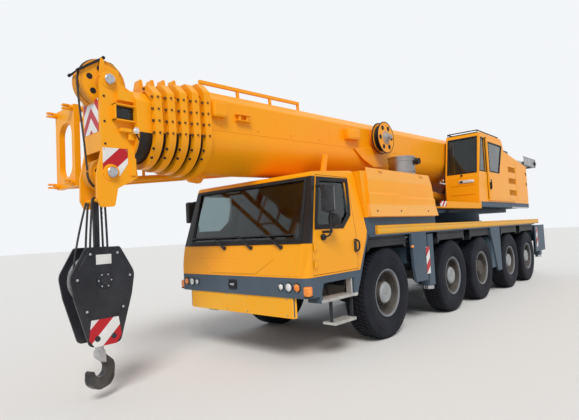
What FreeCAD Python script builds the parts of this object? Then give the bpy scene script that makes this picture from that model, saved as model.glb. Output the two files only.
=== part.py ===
import FreeCAD, Part
import math
import os
from types import SimpleNamespace

import Sketcher

# Driving sizes, in millimetres and degrees. x is forward, y is left, z is up, the ground is z 0
# and x 0 is half way along the crane. A side's sizes are those of the left side.
SIZES = {
    # Wheels, hubs and axles
    "wheel_radius": 705,
    "tyre_half_width": 200,
    "tread_half_width": 165,
    "rim_radius": 345,
    "rim_well_radius": 302,
    "rim_half_width": 165,
    "rim_flange": 25,
    "rim_thick": 17,
    "disc_inner_face": 30,
    "disc_thick": 25,
    "hub_radius": 165,
    "hub_length": 150,
    "bore_radius": 60.3,
    "bore_depth": 90,
    "fit_gap": 0.3,
    "wheel_y": 1130,
    "kingpin_y": 1010,
    "kingpin_radius": 32,
    "kingpin_half_length": 150,
    "knuckle_half_height": 84,
    "neck_radius": 78,
    "carrier_radius": 120,
    "carrier_thick": 22,
    "spindle_length": 85,
    "lug_radius": 55,
    "lug_thick": 50,
    "beam_end_y": 925,
    "beam_half_width": 75,
    "beam_half_height": 90,
    "differential_radius": 190,
    "differential_half_width": 170,
    "shaft_radius": 50,
    "strut_y": 540,
    "strut_radius": 55,
    "strut_top_z": 1300,
    "axle_1_x": 2785,
    "spacing_1_2": 2580,
    "spacing_2_3": 1650,
    "spacing_3_4": 2127,
    "spacing_4_5": 1650,
    # Chassis
    "frame_half_width": 450,
    "frame_bottom_z": 900,
    "frame_top_z": 1480,
    "frame_rear_x": -7150,
    "frame_front_x": 3300,
    "nose_half_width": 420,
    "nose_bottom_z": 800,
    "nose_top_z": 1100,
    "nose_front_x": 4640,
    "slew_x": -2508,
    "pedestal_radius": 950,
    "pedestal_top_z": 1780,
    "body_half_width": 1350,
    "deck_z": 1600,
    "deck_thick": 25,
    "skin_thick": 20,
    # Outriggers
    "front_box_front_x": 1811,
    "front_box_rear_x": 1012,
    "rear_box_front_x": -6020,
    "rear_box_rear_x": -6820,
    "box_wall": 25,
    "box_bottom_z": 1075,
    "channel_height": 330,
    "box_half_length": 1140,
    "leg_beam_height": 318,
    "leg_beam_clearance": 8,
    "leg_beam_inner_reach": 1080,
    "leg_post_inner_y": 1165,
    "leg_post_outer_y": 1335,
    "leg_post_half_width": 110,
    "leg_post_bottom_z": 640,
    "leg_post_top_z": 1570,
    "jack_radius": 62,
    "jack_foot_radius": 95,
    "jack_foot_thick": 60,
    "jack_foot_gap": 8,
    # Driver's cab and front skirt
    "cab_front_x": 4791,
    "cab_bottom_z": 1144,
    "screen_bottom_x": 4694,
    "screen_bottom_z": 1568,
    "roof_front_x": 4448,
    "roof_front_z": 2525,
    "cab_rear_x": 3465,
    "roof_rear_z": 2598,
    "cab_arch_top_x": 3340,
    "cab_arch_top_z": 1690,
    "cab_arch_low_x": 3600,
    "cab_wall": 50,
    "cab_lean": 130,
    "cab_corner": 110,
    "door_front_x": 4660,
    "door_rear_x": 3640,
    "door_top_z": 2485,
    "door_gap": 6,
    "hinge_radius": 14,
    "skirt_front_low_z": 887,
    "skirt_arch_low_x": 3704,
    "skirt_arch_low_z": 790,
    "skirt_thick": 40,
    "lamp_radius": 52,
    "sign_half_width": 1100,
    "sign_bottom_z": 640,
    # Engine, hood and exhaust
    "hood_gap": 10,
    "hood_rear_top_x": 1135,
    "hood_rear_low_x": 930,
    "hood_low_z": 1893,
    "hood_top_z": 2650,
    "hood_brow_x": 2300,
    "hood_front_z": 2585,
    "hood_wall": 30,
    "trough_half_width": 600,
    "trough_z": 2400,
    "engine_rear_x": 1900,
    "engine_front_x": 3150,
    "engine_half_width": 440,
    "engine_top_z": 2320,
    "muffler_radius": 250,
    "muffler_x": 1400,
    "muffler_y": 950,
    "muffler_top_z": 3016,
    # Superstructure
    "ring_radius": 900,
    "platform_z": 2000,
    "platform_top_z": 2100,
    "platform_front_x": -1250,
    "platform_rear_x": -5600,
    "platform_half_width": 700,
    "side_plate_y": 500,
    "side_plate_thick": 40,
    "crane_cab_front_x": -1533,
    "crane_cab_roof_front_x": -1808,
    "crane_cab_rear_x": -3594,
    "crane_cab_roof_z": 3885,
    "crane_cab_bottom_z": 2222,
    "crane_cab_inner_y": 530,
    "crane_cab_outer_y": 1325,
    "crane_cab_wall": 40,
    "housing_rear_x": -5675,
    "housing_front_z": 3590,
    "housing_rear_z": 3322,
    "winch_x": -6130,
    "winch_z": 3250,
    "winch_radius": 260,
    "winch_half_width": 400,
    # Boom, in its own frame: the foot pin is its origin and u runs out along the boom
    "pivot_x": -4950,
    "pivot_z": 3270,
    "pivot_radius": 60,
    "boom_droop": 2,
    "boom_axis_w": 182,
    "boom_half_width": 465,
    "boom_half_height": 532,
    "boom_shoulder": 130,
    "boom_wall": 12,
    "boom_step": 26,
    "boom_tail": 360,
    "section_rear_u": 160,
    "boom_front_u": 10555,
    "collar_length": 100,
    "collar_pitch": 160,
    "collar_proud": 55,
    "reel_u": 6400,
    "reel_w": 400,
    "reel_y": 560,
    "reel_radius": 300,
    "head_half_width": 225,
    "head_front_x": 6800,
    "cylinder_foot_x": -3250,
    "cylinder_foot_z": 2330,
    "cylinder_lug_u": 4990,
    "cylinder_lug_w": -480,
    "sheave_x": 6700,
    "upper_sheave_z": 3520,
    "lower_sheave_z": 2484,
    "barrel_radius": 150,
    "barrel_length": 2810,
    "rod_radius": 100,
    "cylinder_pin_radius": 50,
    "upper_sheave_radius": 260,
    "lower_sheave_radius": 170,
    "sheave_half_width": 95,
    "block_x": 6785,
    "block_pin_z": 2190,
    "block_pin_radius": 21.7,
    "block_half_length": 358,
    "block_half_width": 160,
    "block_top_z": 1671,
    "block_sheave_z": 1310,
    "block_bottom_z": 600,
    "hook_bottom_z": 126,
    "hook_turn": 20,
    # Folding jib
    "jib_rear_x": -2300,
    "jib_front_x": 6700,
    "jib_inner_y": 660,
    "jib_outer_y": 1150,
    "jib_foot_low_z": 2470,
    "jib_foot_high_z": 3400,
    "jib_tip_low_z": 3522,
    "jib_tip_high_z": 3660,
    "jib_chord_radius": 38,
}

doc = FreeCAD.newDocument("MobileCrane")
sheet = doc.addObject("Spreadsheet::Sheet", "Dims")
for row, (alias, number) in enumerate(SIZES.items(), start=1):
    sheet.set(f"A{row}", alias)
    sheet.set(f"B{row}", str(number))
    sheet.setAlias(f"B{row}", alias)
doc.recompute()


# A size is a number that keeps the sheet expression it came from
class Size(float):
    def __new__(cls, number, text):
        size = super().__new__(cls, number)
        size.text = text
        return size

    def __add__(self, other):
        return Size(float(self) + float(other), f"({self.text} + {written(other)})")

    def __radd__(self, other):
        return Size(float(other) + float(self), f"({written(other)} + {self.text})")

    def __sub__(self, other):
        return Size(float(self) - float(other), f"({self.text} - {written(other)})")

    def __rsub__(self, other):
        return Size(float(other) - float(self), f"({written(other)} - {self.text})")

    def __mul__(self, other):
        return Size(float(self) * float(other), f"({self.text} * {written(other)})")

    def __rmul__(self, other):
        return Size(float(other) * float(self), f"({written(other)} * {self.text})")

    def __truediv__(self, other):
        return Size(float(self) / float(other), f"({self.text} / {written(other)})")

    def __neg__(self):
        return Size(-float(self), f"(0 - {self.text})")


def written(number):
    if isinstance(number, Size):
        return number.text
    return f"{number:.6f}" if number >= 0 else f"(0 - {-number:.6f})"


size = SimpleNamespace(**{alias: Size(sheet.get(alias), f"Dims.{alias}") for alias in SIZES})


def bind(item, property_name, number):
    item.setExpression(property_name, written(number))


def place(item, x=0, y=0, z=0):
    for axis, number in (("x", x), ("y", y), ("z", z)):
        bind(item, f".Placement.Base.{axis}", number)
    return item


# A box between two corners, each side given as its low and high end
def box(x, y, z):
    item = doc.addObject("Part::Box", "Box")
    for property_name, (low, high) in (("Length", x), ("Width", y), ("Height", z)):
        bind(item, property_name, high - low)
    return place(item, x[0], y[0], z[0])


TURNS = {
    "x": FreeCAD.Rotation(FreeCAD.Vector(0, 1, 0), 90),
    "y": FreeCAD.Rotation(FreeCAD.Vector(1, 0, 0), -90),
    "z": FreeCAD.Rotation(),
}


# A round bar that starts at a point and runs along an axis
def bar(axis, radius, start, length):
    item = doc.addObject("Part::Cylinder", "Bar")
    item.Placement = FreeCAD.Placement(FreeCAD.Vector(), TURNS[axis])
    bind(item, "Radius", radius)
    bind(item, "Height", length)
    return place(item, *start)


# The centre and the two touching points of the arc that rounds a corner
def rounding(corner, back, ahead, radius):
    half_angle = back.getAngle(ahead) / 2
    reach = radius / math.tan(half_angle)
    inward = (back + ahead).normalize()
    centre = corner + inward * (radius / math.sin(half_angle))
    return centre, corner + back * reach, corner + ahead * reach


def angle_at(centre, point):
    return math.atan2(point.y - centre.y, point.x - centre.x)


# A closed sketch. Each point is (a, b) or (a, b, radius): a radius rounds that corner.
def outline(points):
    sketch = doc.addObject("Sketcher::SketchObject", "Outline")
    corners = [(*point, 0)[:3] for point in points]
    count = len(corners)
    ends = []
    for index, (a, b, radius) in enumerate(corners):
        before = corners[index - 1]
        after = corners[(index + 1) % count]
        back = FreeCAD.Vector(before[0] - a, before[1] - b, 0).normalize()
        ahead = FreeCAD.Vector(after[0] - a, after[1] - b, 0).normalize()
        corner = FreeCAD.Vector(a, b, 0)
        centre, arrive, leave = corner, corner, corner
        if radius:
            centre, arrive, leave = rounding(corner, back, ahead, float(radius))
        left_turn = ahead.cross(back).z > 0
        ends.append((corner, centre, arrive, leave, left_turn))
    sides = []
    for index in range(count):
        start, finish = ends[index][3], ends[(index + 1) % count][2]
        sides.append(sketch.addGeometry(Part.LineSegment(start, finish), False))
    for index, (a, b, radius) in enumerate(corners):
        corner, centre, arrive, leave, left_turn = ends[index]
        if radius:
            first, last = (arrive, leave) if left_turn else (leave, arrive)
            circle = Part.Circle(centre, FreeCAD.Vector(0, 0, 1), float(radius))
            piece = Part.ArcOfCircle(circle, angle_at(centre, first), angle_at(centre, last))
            arc = sketch.addGeometry(piece, False)
            arrive_end, leave_end = (1, 2) if left_turn else (2, 1)
            vertex = sketch.addGeometry(Part.Point(corner), True)
            sketch.addConstraint([
                Sketcher.Constraint("PointOnObject", vertex, 1, sides[index - 1]),
                Sketcher.Constraint("PointOnObject", vertex, 1, sides[index]),
                Sketcher.Constraint("Tangent", sides[index - 1], 2, arc, arrive_end),
                Sketcher.Constraint("Tangent", sides[index], 1, arc, leave_end),
            ])
            limit = sketch.addConstraint(Sketcher.Constraint("Radius", arc, float(radius)))
            bind(sketch, f"Constraints[{limit}]", radius)
        else:
            vertex = sides[index]
            sketch.addConstraint(Sketcher.Constraint("Coincident", sides[index - 1], 2, vertex, 1))
        for kind, number in (("DistanceX", a), ("DistanceY", b)):
            place_held = Sketcher.Constraint(kind, -1, 1, vertex, 1, float(number))
            held = sketch.addConstraint(place_held)
            bind(sketch, f"Constraints[{held}]", number)
    return sketch


# Points of an outline lie in the plane named, so (x, z), (y, z) or (x, y), and the prism
# fills the span along the third axis
PLANES = {
    "xz": (FreeCAD.Rotation(FreeCAD.Vector(1, 0, 0), 90), "y", 1),
    "yz": (FreeCAD.Rotation(FreeCAD.Vector(1, 1, 1), 120), "x", 0),
    "xy": (FreeCAD.Rotation(), "z", 0),
}


def prism(plane, points, span):
    turn, axis, base_end = PLANES[plane]
    sketch = outline(points)
    sketch.Placement = FreeCAD.Placement(FreeCAD.Vector(), turn)
    bind(sketch, f".Placement.Base.{axis}", span[base_end])
    item = doc.addObject("Part::Extrusion", "Prism")
    item.Base = sketch
    item.DirMode = "Normal"
    item.Solid = True
    bind(item, "LengthFwd", span[1] - span[0])
    return item


# A turned piece: points are (along, radius), and the axis runs along x before it is placed
def turned(points):
    item = doc.addObject("Part::Revolution", "Turned")
    item.Source = outline(points)
    item.Axis = FreeCAD.Vector(1, 0, 0)
    item.Base = FreeCAD.Vector()
    item.Angle = 360
    item.Solid = True
    return item


def fuse(*items):
    item = doc.addObject("Part::MultiFuse", "Fused")
    item.Shapes = list(items)
    item.Refine = True
    return item


def cut(base, *tools):
    item = doc.addObject("Part::Cut", "Trimmed")
    item.Base = base
    item.Tool = tools[0] if len(tools) == 1 else fuse(*tools)
    item.Refine = True
    return item


def common(*items):
    item = doc.addObject("Part::MultiCommon", "Shared")
    item.Shapes = list(items)
    item.Refine = True
    return item


# The same piece on the other side of the crane
def mirrored(item):
    twin = doc.addObject("Part::Mirroring", "Twin")
    twin.Source = item
    twin.Normal = FreeCAD.Vector(0, 1, 0)
    twin.Base = FreeCAD.Vector()
    return twin


def together(*items):
    item = doc.addObject("Part::Compound", "Group")
    item.Links = list(items)
    return item


subparts = []


def subpart(name, item):
    item.Label = name
    subparts.append(item)
    return item


SIDES = (("left", 1), ("right", -1))


def on_side(item, sign):
    return item if sign > 0 else mirrored(item)


# Axle places, from the front: which ones steer
axle_2_x = size.axle_1_x - size.spacing_1_2
axle_3_x = axle_2_x - size.spacing_2_3
axle_4_x = axle_3_x - size.spacing_3_4
axle_5_x = axle_4_x - size.spacing_4_5
AXLES = (
    # number, x, steers
    (1, size.axle_1_x, True),
    (2, axle_2_x, True),
    (3, axle_3_x, False),
    (4, axle_4_x, True),
    (5, axle_5_x, True),
)
axle_z = size.wheel_radius


# Wheels: a tyre with rounded shoulders on a deep rim, whose disc carries the hub drive
def wheel(x, sign):
    edge = size.rim_half_width
    well = size.rim_well_radius
    bead = edge - size.rim_flange - 2
    tyre = turned((
        (bead, well + size.fit_gap),
        (bead, size.rim_radius + 4),
        (size.tyre_half_width, size.rim_radius + 120, 90),
        (size.tyre_half_width - 6, size.wheel_radius - 60, 60),
        (size.tread_half_width, size.wheel_radius, 18),
        (-size.tread_half_width, size.wheel_radius, 18),
        (6 - size.tyre_half_width, size.wheel_radius - 60, 60),
        (-size.tyre_half_width, size.rim_radius + 120, 90),
        (-bead, size.rim_radius + 4),
        (-bead, well + size.fit_gap),
    ))
    disc_in = -size.disc_inner_face
    disc_out = disc_in + size.disc_thick
    floor = size.bore_depth + disc_in
    lip = edge - size.rim_flange
    rim = turned((
        (disc_in, size.bore_radius),
        (floor, size.bore_radius),
        (floor, 0),
        (size.hub_length, 0),
        (size.hub_length, size.hub_radius * 0.6, 12),
        (size.hub_length - 35, size.hub_radius * 0.92, 12),
        (disc_out, size.hub_radius),
        (disc_out, well - size.rim_thick),
        (edge, size.rim_radius - size.rim_flange),
        (edge, size.rim_radius, 6),
        (lip, size.rim_radius),
        (lip, well),
        (-lip, well),
        (-lip, size.rim_radius),
        (-edge, size.rim_radius, 6),
        (-edge, size.rim_radius - size.rim_flange),
        (disc_in, well - size.rim_thick),
    ))
    pair = together(tyre, rim)
    pair.Placement = FreeCAD.Placement(FreeCAD.Vector(), FreeCAD.Rotation(FreeCAD.Vector(0, 0, 1), 90 * sign))
    return place(pair, x, sign * size.wheel_y, axle_z)


for number, x, steers in AXLES:
    for side, sign in SIDES:
        subpart(f"wheel_{number}_{side}", wheel(x, sign))

# The hub carrier's disc stops short of the wheel's disc, and the spindle fills its bore
disc_y = size.wheel_y - size.disc_inner_face
carrier_face_y = disc_y - 6
carrier_back_y = carrier_face_y - size.carrier_thick


def carrier(x):
    disc = bar("y", size.carrier_radius, (x, carrier_back_y, axle_z), size.carrier_thick)
    spindle_start = (x, carrier_face_y, axle_z)
    spindle_radius = size.bore_radius - size.fit_gap
    return fuse(disc, bar("y", spindle_radius, spindle_start, size.spindle_length))


# Steering knuckles: a yoke on the kingpin, a neck out to the hub carrier, and an arm behind
def knuckle(x):
    low_z = axle_z - size.kingpin_half_length
    pin = bar("z", size.kingpin_radius, (x, size.kingpin_y, low_z), 2 * size.kingpin_half_length)
    half = size.knuckle_half_height
    yoke = box((x - 45, x + 45), (size.kingpin_y - 50, size.kingpin_y + 40), (axle_z - half, axle_z + half))
    neck = bar("y", size.neck_radius, (x, size.kingpin_y, axle_z), carrier_back_y - size.kingpin_y)
    arm = prism("xy", (
        (x - 20, size.kingpin_y - 30),
        (x - 20, size.kingpin_y + 15),
        (x - 215, size.kingpin_y + 10, 15),
        (x - 215, size.kingpin_y - 25, 15),
    ), (axle_z - 20, axle_z + 20))
    return fuse(pin, yoke, neck, arm, carrier(x))


for number, x, steers in AXLES:
    if steers:
        for side, sign in SIDES:
            subpart(f"knuckle_{number}_{side}", on_side(knuckle(x), sign))


# Axle beams: a box beam with the differential in its middle, forked ends round the kingpins,
# a strut to the frame on each side, and a drive shaft from axle to axle
def beam_end(x, steers):
    half = size.beam_half_height
    if not steers:
        stub = box((x - 60, x + 60), (size.beam_end_y, carrier_back_y), (axle_z - 70, axle_z + 70))
        return [stub, carrier(x)]
    gap = size.knuckle_half_height + 6
    top = gap + size.lug_thick
    pieces = [box(
        (x - size.beam_half_width, x + size.beam_half_width),
        (size.beam_end_y - 45, size.beam_end_y),
        (axle_z - top, axle_z + top),
    )]
    for low in (axle_z + gap, axle_z - top):
        lug = fuse(
            box((x - size.lug_radius, x + size.lug_radius), (size.beam_end_y, size.kingpin_y),
                (low, low + size.lug_thick)),
            bar("z", size.lug_radius, (x, size.kingpin_y, low), size.lug_thick),
        )
        hole_radius = size.kingpin_radius + size.fit_gap
        pieces.append(cut(lug, bar("z", hole_radius, (x, size.kingpin_y, low), size.lug_thick)))
    return pieces


def axle_beam(x, steers):
    half_width, half_height = size.beam_half_width, size.beam_half_height
    beam = box((x - half_width, x + half_width), (-size.beam_end_y, size.beam_end_y),
               (axle_z - half_height, axle_z + half_height))
    casing = turned((
        (-size.differential_half_width, 0),
        (-size.differential_half_width, size.differential_radius * 0.7, 40),
        (-size.differential_half_width * 0.5, size.differential_radius, 40),
        (size.differential_half_width * 0.5, size.differential_radius, 40),
        (size.differential_half_width, size.differential_radius * 0.7, 40),
        (size.differential_half_width, 0),
    ))
    casing.Placement = FreeCAD.Placement(FreeCAD.Vector(), FreeCAD.Rotation(FreeCAD.Vector(0, 0, 1), 90))
    place(casing, x, 0, axle_z)
    pieces = [beam, casing]
    for sign in (1, -1):
        pieces += [on_side(piece, sign) for piece in beam_end(x, steers)]
        start = (x, sign * size.strut_y, axle_z)
        pieces.append(bar("z", size.strut_radius, start, size.strut_top_z - axle_z))
    return pieces


beam_pieces = []
for number, x, steers in AXLES:
    beam_pieces += axle_beam(x, steers)
drive_shaft = bar("x", size.shaft_radius, (axle_5_x, 0, axle_z), size.axle_1_x - axle_5_x)
subpart("axle_beams", fuse(drive_shaft, *beam_pieces))

# Outrigger boxes cross the frame. Each has two channels side by side, and the rear channel of
# the front box holds the left leg.
channel_bottom_z = size.box_bottom_z + size.box_wall
BOXES = (
    # name, rear x, front x
    ("front", size.front_box_rear_x, size.front_box_front_x),
    ("rear", size.rear_box_rear_x, size.rear_box_front_x),
)


def channel(rear_x, front_x, sign):
    middle = (rear_x + front_x) / 2
    if sign > 0:
        return (rear_x + size.box_wall, middle - size.box_wall / 2)
    return (middle + size.box_wall / 2, front_x - size.box_wall)


box_pieces = []
channel_cuts = []
for name, rear_x, front_x in BOXES:
    top = channel_bottom_z + size.channel_height + size.box_wall
    box_pieces.append(box((rear_x, front_x), (-size.box_half_length, size.box_half_length),
                          (size.box_bottom_z, top)))
    for side, sign in SIDES:
        channel_cuts.append(box(
            channel(rear_x, front_x, sign),
            (-size.box_half_length, size.box_half_length),
            (channel_bottom_z, channel_bottom_z + size.channel_height),
        ))

# Chassis: the box girder, its nose under the cab, the slewing pedestal, the strut brackets and
# the tow coupling at the rear
girder = box((size.frame_rear_x, size.frame_front_x), (-size.frame_half_width, size.frame_half_width),
             (size.frame_bottom_z, size.frame_top_z))
nose = box((size.frame_front_x, size.nose_front_x), (-size.nose_half_width, size.nose_half_width),
           (size.nose_bottom_z, size.nose_top_z))
nose_web = box((size.frame_front_x - 100, size.frame_front_x), (-size.nose_half_width, size.nose_half_width),
               (size.nose_bottom_z, size.frame_bottom_z))
pedestal = bar("z", size.pedestal_radius, (size.slew_x, 0, size.frame_top_z),
               size.pedestal_top_z - size.frame_top_z)
brackets = []
for number, x, steers in AXLES:
    for sign in (1, -1):
        reach = (size.frame_half_width, size.strut_y + size.strut_radius)
        across = reach if sign > 0 else (-reach[1], -reach[0])
        brackets.append(box((x - 80, x + 80), across, (size.strut_top_z, size.strut_top_z + 110)))
tow_block = box((size.frame_rear_x - 120, size.frame_rear_x), (-160, 160),
                (size.frame_bottom_z, size.frame_bottom_z + 160))
tow_bore = bar("z", 25, (size.frame_rear_x - 70, 0, size.frame_bottom_z), 160)
chassis = fuse(girder, nose, nose_web, pedestal, cut(tow_block, tow_bore), *brackets, *box_pieces)
subpart("chassis_frame", cut(chassis, *channel_cuts))


# Outrigger legs: a beam that slides out of its channel, with a post for the jack on its end.
# The rear legs carry a wide cover plate.
def leg_middle(rear_x, front_x, sign):
    low, high = channel(rear_x, front_x, sign)
    return (low + high) / 2


def leg_beam(name, middle_x, width):
    beam_low_z = channel_bottom_z + size.fit_gap
    beam = box((middle_x - width / 2, middle_x + width / 2),
               (-size.leg_beam_inner_reach, size.leg_post_inner_y),
               (beam_low_z, beam_low_z + size.leg_beam_height))
    post = box((middle_x - size.leg_post_half_width, middle_x + size.leg_post_half_width),
               (size.leg_post_inner_y, size.leg_post_outer_y),
               (size.leg_post_bottom_z, size.leg_post_top_z))
    pieces = [beam, post]
    if name == "rear":
        pieces.append(box((size.frame_rear_x, size.rear_box_front_x - 15),
                          (size.leg_post_outer_y, size.leg_post_outer_y + 14),
                          (size.leg_post_bottom_z + 130, size.leg_post_top_z)))
    shaft = bar("z", size.jack_radius + size.fit_gap, (middle_x, post_y, size.leg_post_bottom_z),
                jack_top_z + 20 - size.leg_post_bottom_z)
    return cut(fuse(*pieces), shaft)


# The jack's ram slides down out of the post and ends in a round foot
def jack(middle_x):
    foot_z = size.leg_post_bottom_z - size.jack_foot_gap - size.jack_foot_thick
    ram = bar("z", size.jack_radius, (middle_x, post_y, foot_z), jack_top_z - foot_z)
    foot = bar("z", size.jack_foot_radius, (middle_x, post_y, foot_z), size.jack_foot_thick)
    return fuse(ram, foot)


post_y = (size.leg_post_inner_y + size.leg_post_outer_y) / 2
jack_top_z = size.leg_post_top_z - 60
for name, rear_x, front_x in BOXES:
    for side, sign in SIDES:
        low, high = channel(rear_x, front_x, sign)
        middle_x = leg_middle(rear_x, front_x, sign)
        width = high - low - 2 * size.leg_beam_clearance
        subpart(f"outrigger_{name}_{side}", on_side(leg_beam(name, middle_x, width), sign))
        subpart(f"jack_{name}_{side}", on_side(jack(middle_x), sign))

# Side panels: decks on both sides of the frame, the band under the hood, the rail along the
# deck's edge, the tanks and the hanging leg panels between the third and fourth axles
side_y = size.body_half_width
deck_front_x = size.frame_front_x
deck_rear_x = size.rear_box_front_x
deck_top_z = size.deck_z + size.deck_thick
band_rear_x = size.hood_rear_low_x - 45
leg_front_x = axle_3_x - size.wheel_radius + 105
leg_rear_x = axle_4_x + size.wheel_radius + 107
tank_low_z = 640
rail_low_z = 1680
rail_high_z = 1760


def side_panel(face_rear_x, face_front_x):
    deck = box((deck_rear_x, deck_front_x), (size.frame_half_width, side_y), (size.deck_z, deck_top_z))
    band = prism("xz", (
        (band_rear_x, deck_top_z),
        (size.cab_arch_top_x - 40, deck_top_z),
        (size.cab_arch_top_x - 40, size.cab_arch_top_z + 10),
        (size.cab_arch_top_x + 8, size.hood_low_z - 60),
        (size.cab_arch_top_x + 14, size.hood_low_z),
        (size.hood_rear_low_x, size.hood_low_z),
    ), (side_y - size.skin_thick - 30, side_y - 30))
    rail = box((deck_rear_x - 490, band_rear_x + 2180), (side_y - 30, side_y), (deck_top_z, rail_high_z))
    rail_foot = box((deck_rear_x, band_rear_x), (side_y - 50, side_y - 30), (deck_top_z, rail_low_z))
    leg = prism("xz", (
        (leg_front_x, size.deck_z),
        (leg_front_x - 30, size.deck_z - 160),
        (leg_rear_x + 300, tank_low_z - 90),
        (leg_rear_x + 40, tank_low_z - 90),
        (leg_rear_x + 40, size.deck_z),
    ), (side_y - 40, side_y))
    tank = box((leg_rear_x + 60, leg_front_x - 110), (size.frame_half_width + 90, side_y - 40),
               (tank_low_z, size.deck_z))
    front_face = prism("xz", (
        (face_front_x, size.deck_z),
        (face_front_x - 55, tank_low_z + 380),
        (face_front_x - 115, tank_low_z + 120),
        (face_rear_x, tank_low_z + 120),
        (face_rear_x, size.deck_z),
    ), (side_y - 45, side_y))
    return fuse(deck, band, rail, rail_foot, leg, tank, front_face)


ring_space = bar("z", size.pedestal_radius + size.fit_gap, (size.slew_x, 0, tank_low_z), rail_high_z - tank_low_z)
left_panel = cut(side_panel(size.front_box_rear_x + 400, size.front_box_front_x + 175), ring_space)
right_panel = cut(side_panel(size.front_box_rear_x - 40, size.front_box_rear_x + 400), ring_space)
subpart("side_panels", together(left_panel, mirrored(right_panel)))


# Mudguards: a bent plate over each wheel with a skirt along its outer edge. The guards beside
# the cab's step and beside the leg panel are shorter on that side.
GUARD_REACH = {
    # axle: (rear, front)
    1: (655, 545),
    2: (655, 655),
    3: (590, 655),
    4: (655, 655),
    5: (655, 655),
}


def mudguard(x, rear_reach, front_reach):
    top = size.deck_z
    thick = 16
    rear, front = x - rear_reach, x + front_reach
    plate = prism("xz", (
        (rear + 110, top),
        (front - 110, top),
        (front, top - 150),
        (front, top - 225),
        (front - thick, top - 225),
        (front - thick, top - 150),
        (front - 110 - thick, top - thick),
        (rear + 110 + thick, top - thick),
        (rear + thick, top - 150),
        (rear + thick, top - 225),
        (rear, top - 225),
        (rear, top - 150),
    ), (size.frame_half_width + 220, side_y - 50))
    skirt = prism("xz", (
        (rear, top),
        (front, top),
        (front, top - 225),
        (front - 95, top - 165, 60),
        (rear + 95, top - 165, 60),
        (rear, top - 225),
    ), (side_y - 50, side_y - 34))
    return fuse(plate, skirt)


guards = []
for number, x, steers in AXLES:
    left_guard = cut(mudguard(x, *GUARD_REACH[number]), ring_space)
    guards += [left_guard, mirrored(left_guard)]
subpart("mudguards", together(*guards))


# Cab: a hollow shell drawn from the side, its upper sides leaning in and its front corners
# rounded. The same outline, moved in by a wall, makes the inside.
def cab_side(inset, half_width):
    return prism("xz", (
        (size.cab_front_x - inset, size.cab_bottom_z + inset),
        (size.screen_bottom_x - inset, size.screen_bottom_z),
        (size.roof_front_x - inset, size.roof_front_z - inset, 60),
        (size.cab_rear_x + inset, size.roof_rear_z - inset, 60),
        (size.cab_arch_top_x + inset, size.cab_arch_top_z),
        (size.cab_arch_low_x + inset, size.cab_bottom_z + inset),
    ), (-half_width, half_width))


def cab_front_view(inset):
    outer = side_y - inset
    belt = size.screen_bottom_z
    top = size.roof_rear_z + 20 - inset
    return prism("yz", (
        (-outer, size.cab_bottom_z + inset),
        (outer, size.cab_bottom_z + inset),
        (outer, belt),
        (outer - size.cab_lean, top, 80),
        (size.cab_lean - outer, top, 80),
        (-outer, belt),
    ), (size.cab_arch_top_x - 100, size.cab_front_x + 100))


def cab_plan(inset):
    outer = side_y - inset
    front = size.cab_front_x - inset
    return prism("xy", (
        (size.cab_arch_top_x - 100, -outer),
        (front, -outer, size.cab_corner),
        (front, outer, size.cab_corner),
        (size.cab_arch_top_x - 100, outer),
    ), (size.cab_bottom_z - 400, size.roof_rear_z + 100))


def cab_body(inset):
    return common(cab_side(inset, side_y + 50), cab_front_view(inset), cab_plan(inset))


# The door's outline, drawn smaller by a gap all round. Its front edge follows the screen.
def door_outline(gap, span):
    return prism("xz", (
        (size.door_front_x - gap, size.cab_bottom_z + 20 + gap),
        (size.door_front_x - gap, size.screen_bottom_z - 40),
        (size.roof_front_x - 60 - gap, size.door_top_z - gap, 40),
        (size.door_rear_x + gap, size.door_top_z - gap, 40),
        (size.door_rear_x + gap, size.cab_bottom_z + 20 + gap),
    ), span)


door_span = (side_y - size.cab_lean - size.cab_wall - 30, side_y + 60)


def door_window(inset, span):
    return prism("xz", (
        (size.screen_bottom_x - 165 - inset, 1790 + inset, 40),
        (size.roof_front_x - 95 - inset, 2400 - inset, 50),
        (size.door_rear_x + 110 + inset, 2420 - inset, 50),
        (size.door_rear_x + 110 + inset, 1960 + inset, 40),
        (size.door_rear_x + 250 + inset, 1800 + inset, 60),
    ), span)


screen_frame = 70
screen_low_z = size.screen_bottom_z + 60
screen_high_z = size.roof_front_z - 90


def screen_slab(inset, depth):
    rise = (size.screen_bottom_x - size.roof_front_x) / (size.roof_front_z - size.screen_bottom_z)
    low = screen_low_z + inset
    high = screen_high_z - inset
    low_x = size.screen_bottom_x - (low - size.screen_bottom_z) * rise
    high_x = size.screen_bottom_x - (high - size.screen_bottom_z) * rise
    half = side_y - size.cab_lean - screen_frame - inset
    front, back = depth
    return prism("xz", (
        (low_x - front, low),
        (high_x - front, high),
        (high_x - back, high),
        (low_x - back, low),
    ), (-half, half))


cab_shell = cut(
    cab_body(0),
    cab_body(size.cab_wall),
    screen_slab(0, (-40, 120)),
    door_outline(0, door_span),
    mirrored(door_outline(0, door_span)),
)
subpart("driver_cab", cab_shell)
subpart("driver_cab_glass", screen_slab(size.fit_gap, (18, 28)))

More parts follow.
